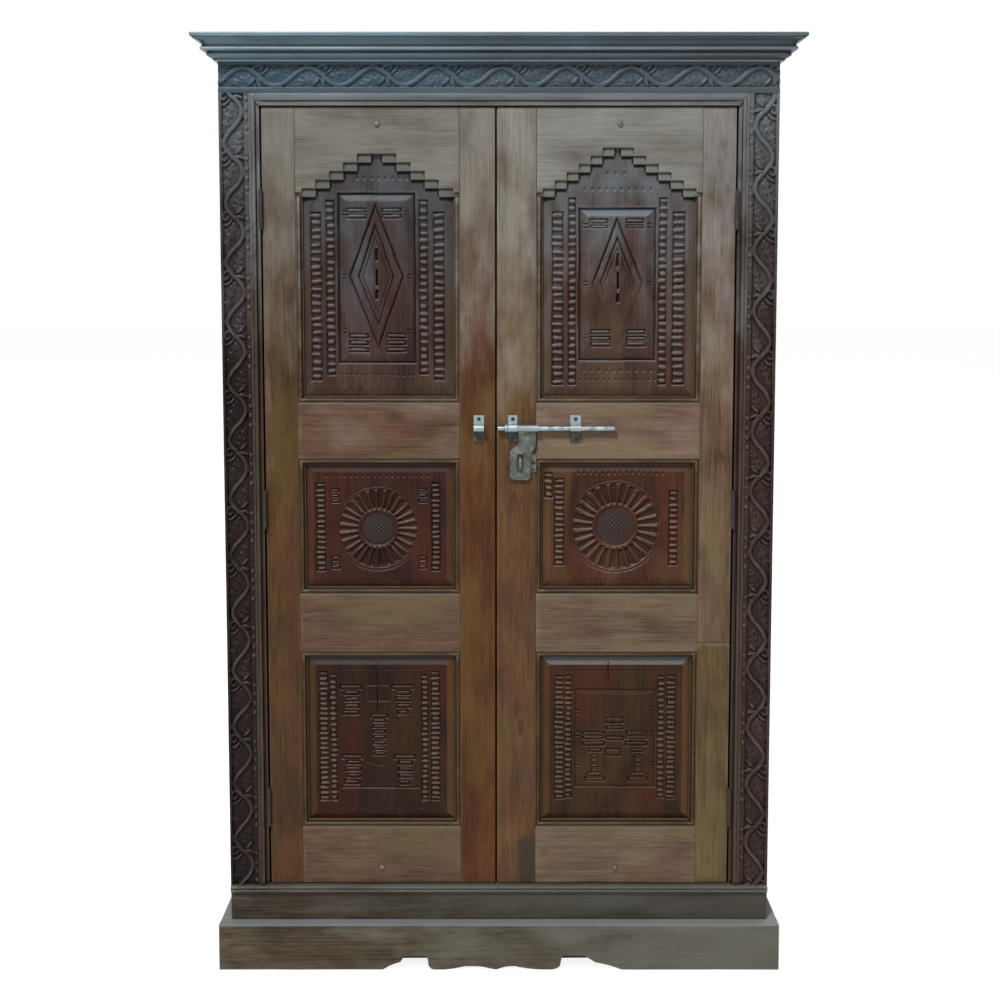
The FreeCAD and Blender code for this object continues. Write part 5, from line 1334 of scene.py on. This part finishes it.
pegHead = [(2.0, 1.2), (1.8, 2.8), (1.2, 4.2), (0.3, 5.2), (-0.2, 5.4), (-0.6, 4.0)]    # bulge and radius
for side in sides:
    softenedCopy(f"door_screws_{side}", f"iron_screws_{side}", f"door_{side}", "blackIron", 0.4)
    low, high = edgesOf(f"rail_pegs_{side}")
    middle, radius = (low[0] + high[0]) / 2, (high[0] - low[0]) / 2
    peg = [(low[1] - bulge, headRadius) for bulge, headRadius in pegHead] + [(high[1], radius)]
    heads = [turned(peg, 1, (middle, end), 16) for end in (low[2] + radius, high[2] - radius)]
    finishPiece(f"domed_pegs_{side}", f"rail_pegs_{side}", f"door_{side}", "dullIron", merged(heads), "y", 0)
keptNodes = {
    "blackIron": ("hinge_frame_leaves", "hinge_door_leaves_left", "hinge_door_leaves_right", "hinge_pins",
                  "hinge_frame_screws"),
    "battenTeak": ("corner_blocks", "shelf_cleats", "door_stops"),
}
for finish, nodes in keptNodes.items():
    for node in nodes:
        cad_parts[node].data.materials.clear()
        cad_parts[node].data.materials.append(finishes[finish])
print("latch and hinges made")


# Floor, background and light, in metres

studio = {
    "fill": 0.30,           # light from all round
    "key": 390, "keySize": 1.0, "keyPlace": (-1.9, -3.9, 6.3), "keyAim": (0, -0.2, 1.0),
    "back": 30, "backSize": 2.0, "backPlace": (2.4, 1.8, 3.2), "backAim": (0, 0.2, 1.0),
    "floor": "#dededc", "floorReach": 30.0, "white": (1, 1, 1, 1),
    "glow": 1.76, "glowShare": 0.5,     # half of the floor that is seen glows and half keeps its shadow
}


def addLamp(lamp):
    # A square lamp turned towards its aim
    data = bpy.data.lights.new(f"{lamp}Light", "AREA")
    data.energy, data.size = studio[lamp], studio[f"{lamp}Size"]
    made = newObject(f"{lamp}Light", data)
    made.location = studio[f"{lamp}Place"]
    x, y, z = np.array(studio[f"{lamp}Place"]) - studio[f"{lamp}Aim"]
    made.rotation_euler = (math.atan2(math.hypot(x, y), z), 0, math.atan2(x, -y))


def shownRays(add):
    # 1 for the rays that show the background to the camera, to metal and through glass, and 0 for the rest
    most = add("LightPath", output="Is Camera Ray")
    for kind in ("Is Glossy Ray", "Is Transmission Ray"):
        most = add("Math", {0: most, 1: add("LightPath", output=kind)}, operation="MAXIMUM")
    return most


addLamp("key")
addLamp("back")
scene.world = bpy.data.worlds.new("studioWorld")
scene.world.use_nodes = True
scene.world.node_tree.nodes.clear()
add = partial(addNode, scene.world.node_tree)
strength = add("MapRange", {"Value": shownRays(add), "To Min": studio["fill"], "To Max": 1.0})
add("OutputWorld", {"Surface": add("Background", {"Color": studio["white"], "Strength": strength})})

floorMaterial, add = newMaterial("paleStudioFloor")
share = add("Math", {0: shownRays(add), 1: studio["glowShare"]}, operation="MULTIPLY")
matte = add("BsdfDiffuse", {"Color": linear(studio["floor"])})
glow = add("Emission", {"Color": studio["white"], "Strength": studio["glow"]})
add("OutputMaterial", {"Surface": add("MixShader", {"Fac": share, 1: matte, 2: glow})})
reach = studio["floorReach"]
floorMesh = bpy.data.meshes.new("studioFloor")
floorMesh.from_pydata([(-reach, -reach, 0), (reach, -reach, 0), (reach, reach, 0), (-reach, reach, 0)], [],
                      [(0, 1, 2, 3)])
floorMesh.materials.append(floorMaterial)
newObject("studioFloor", floorMesh)
print("studio made")
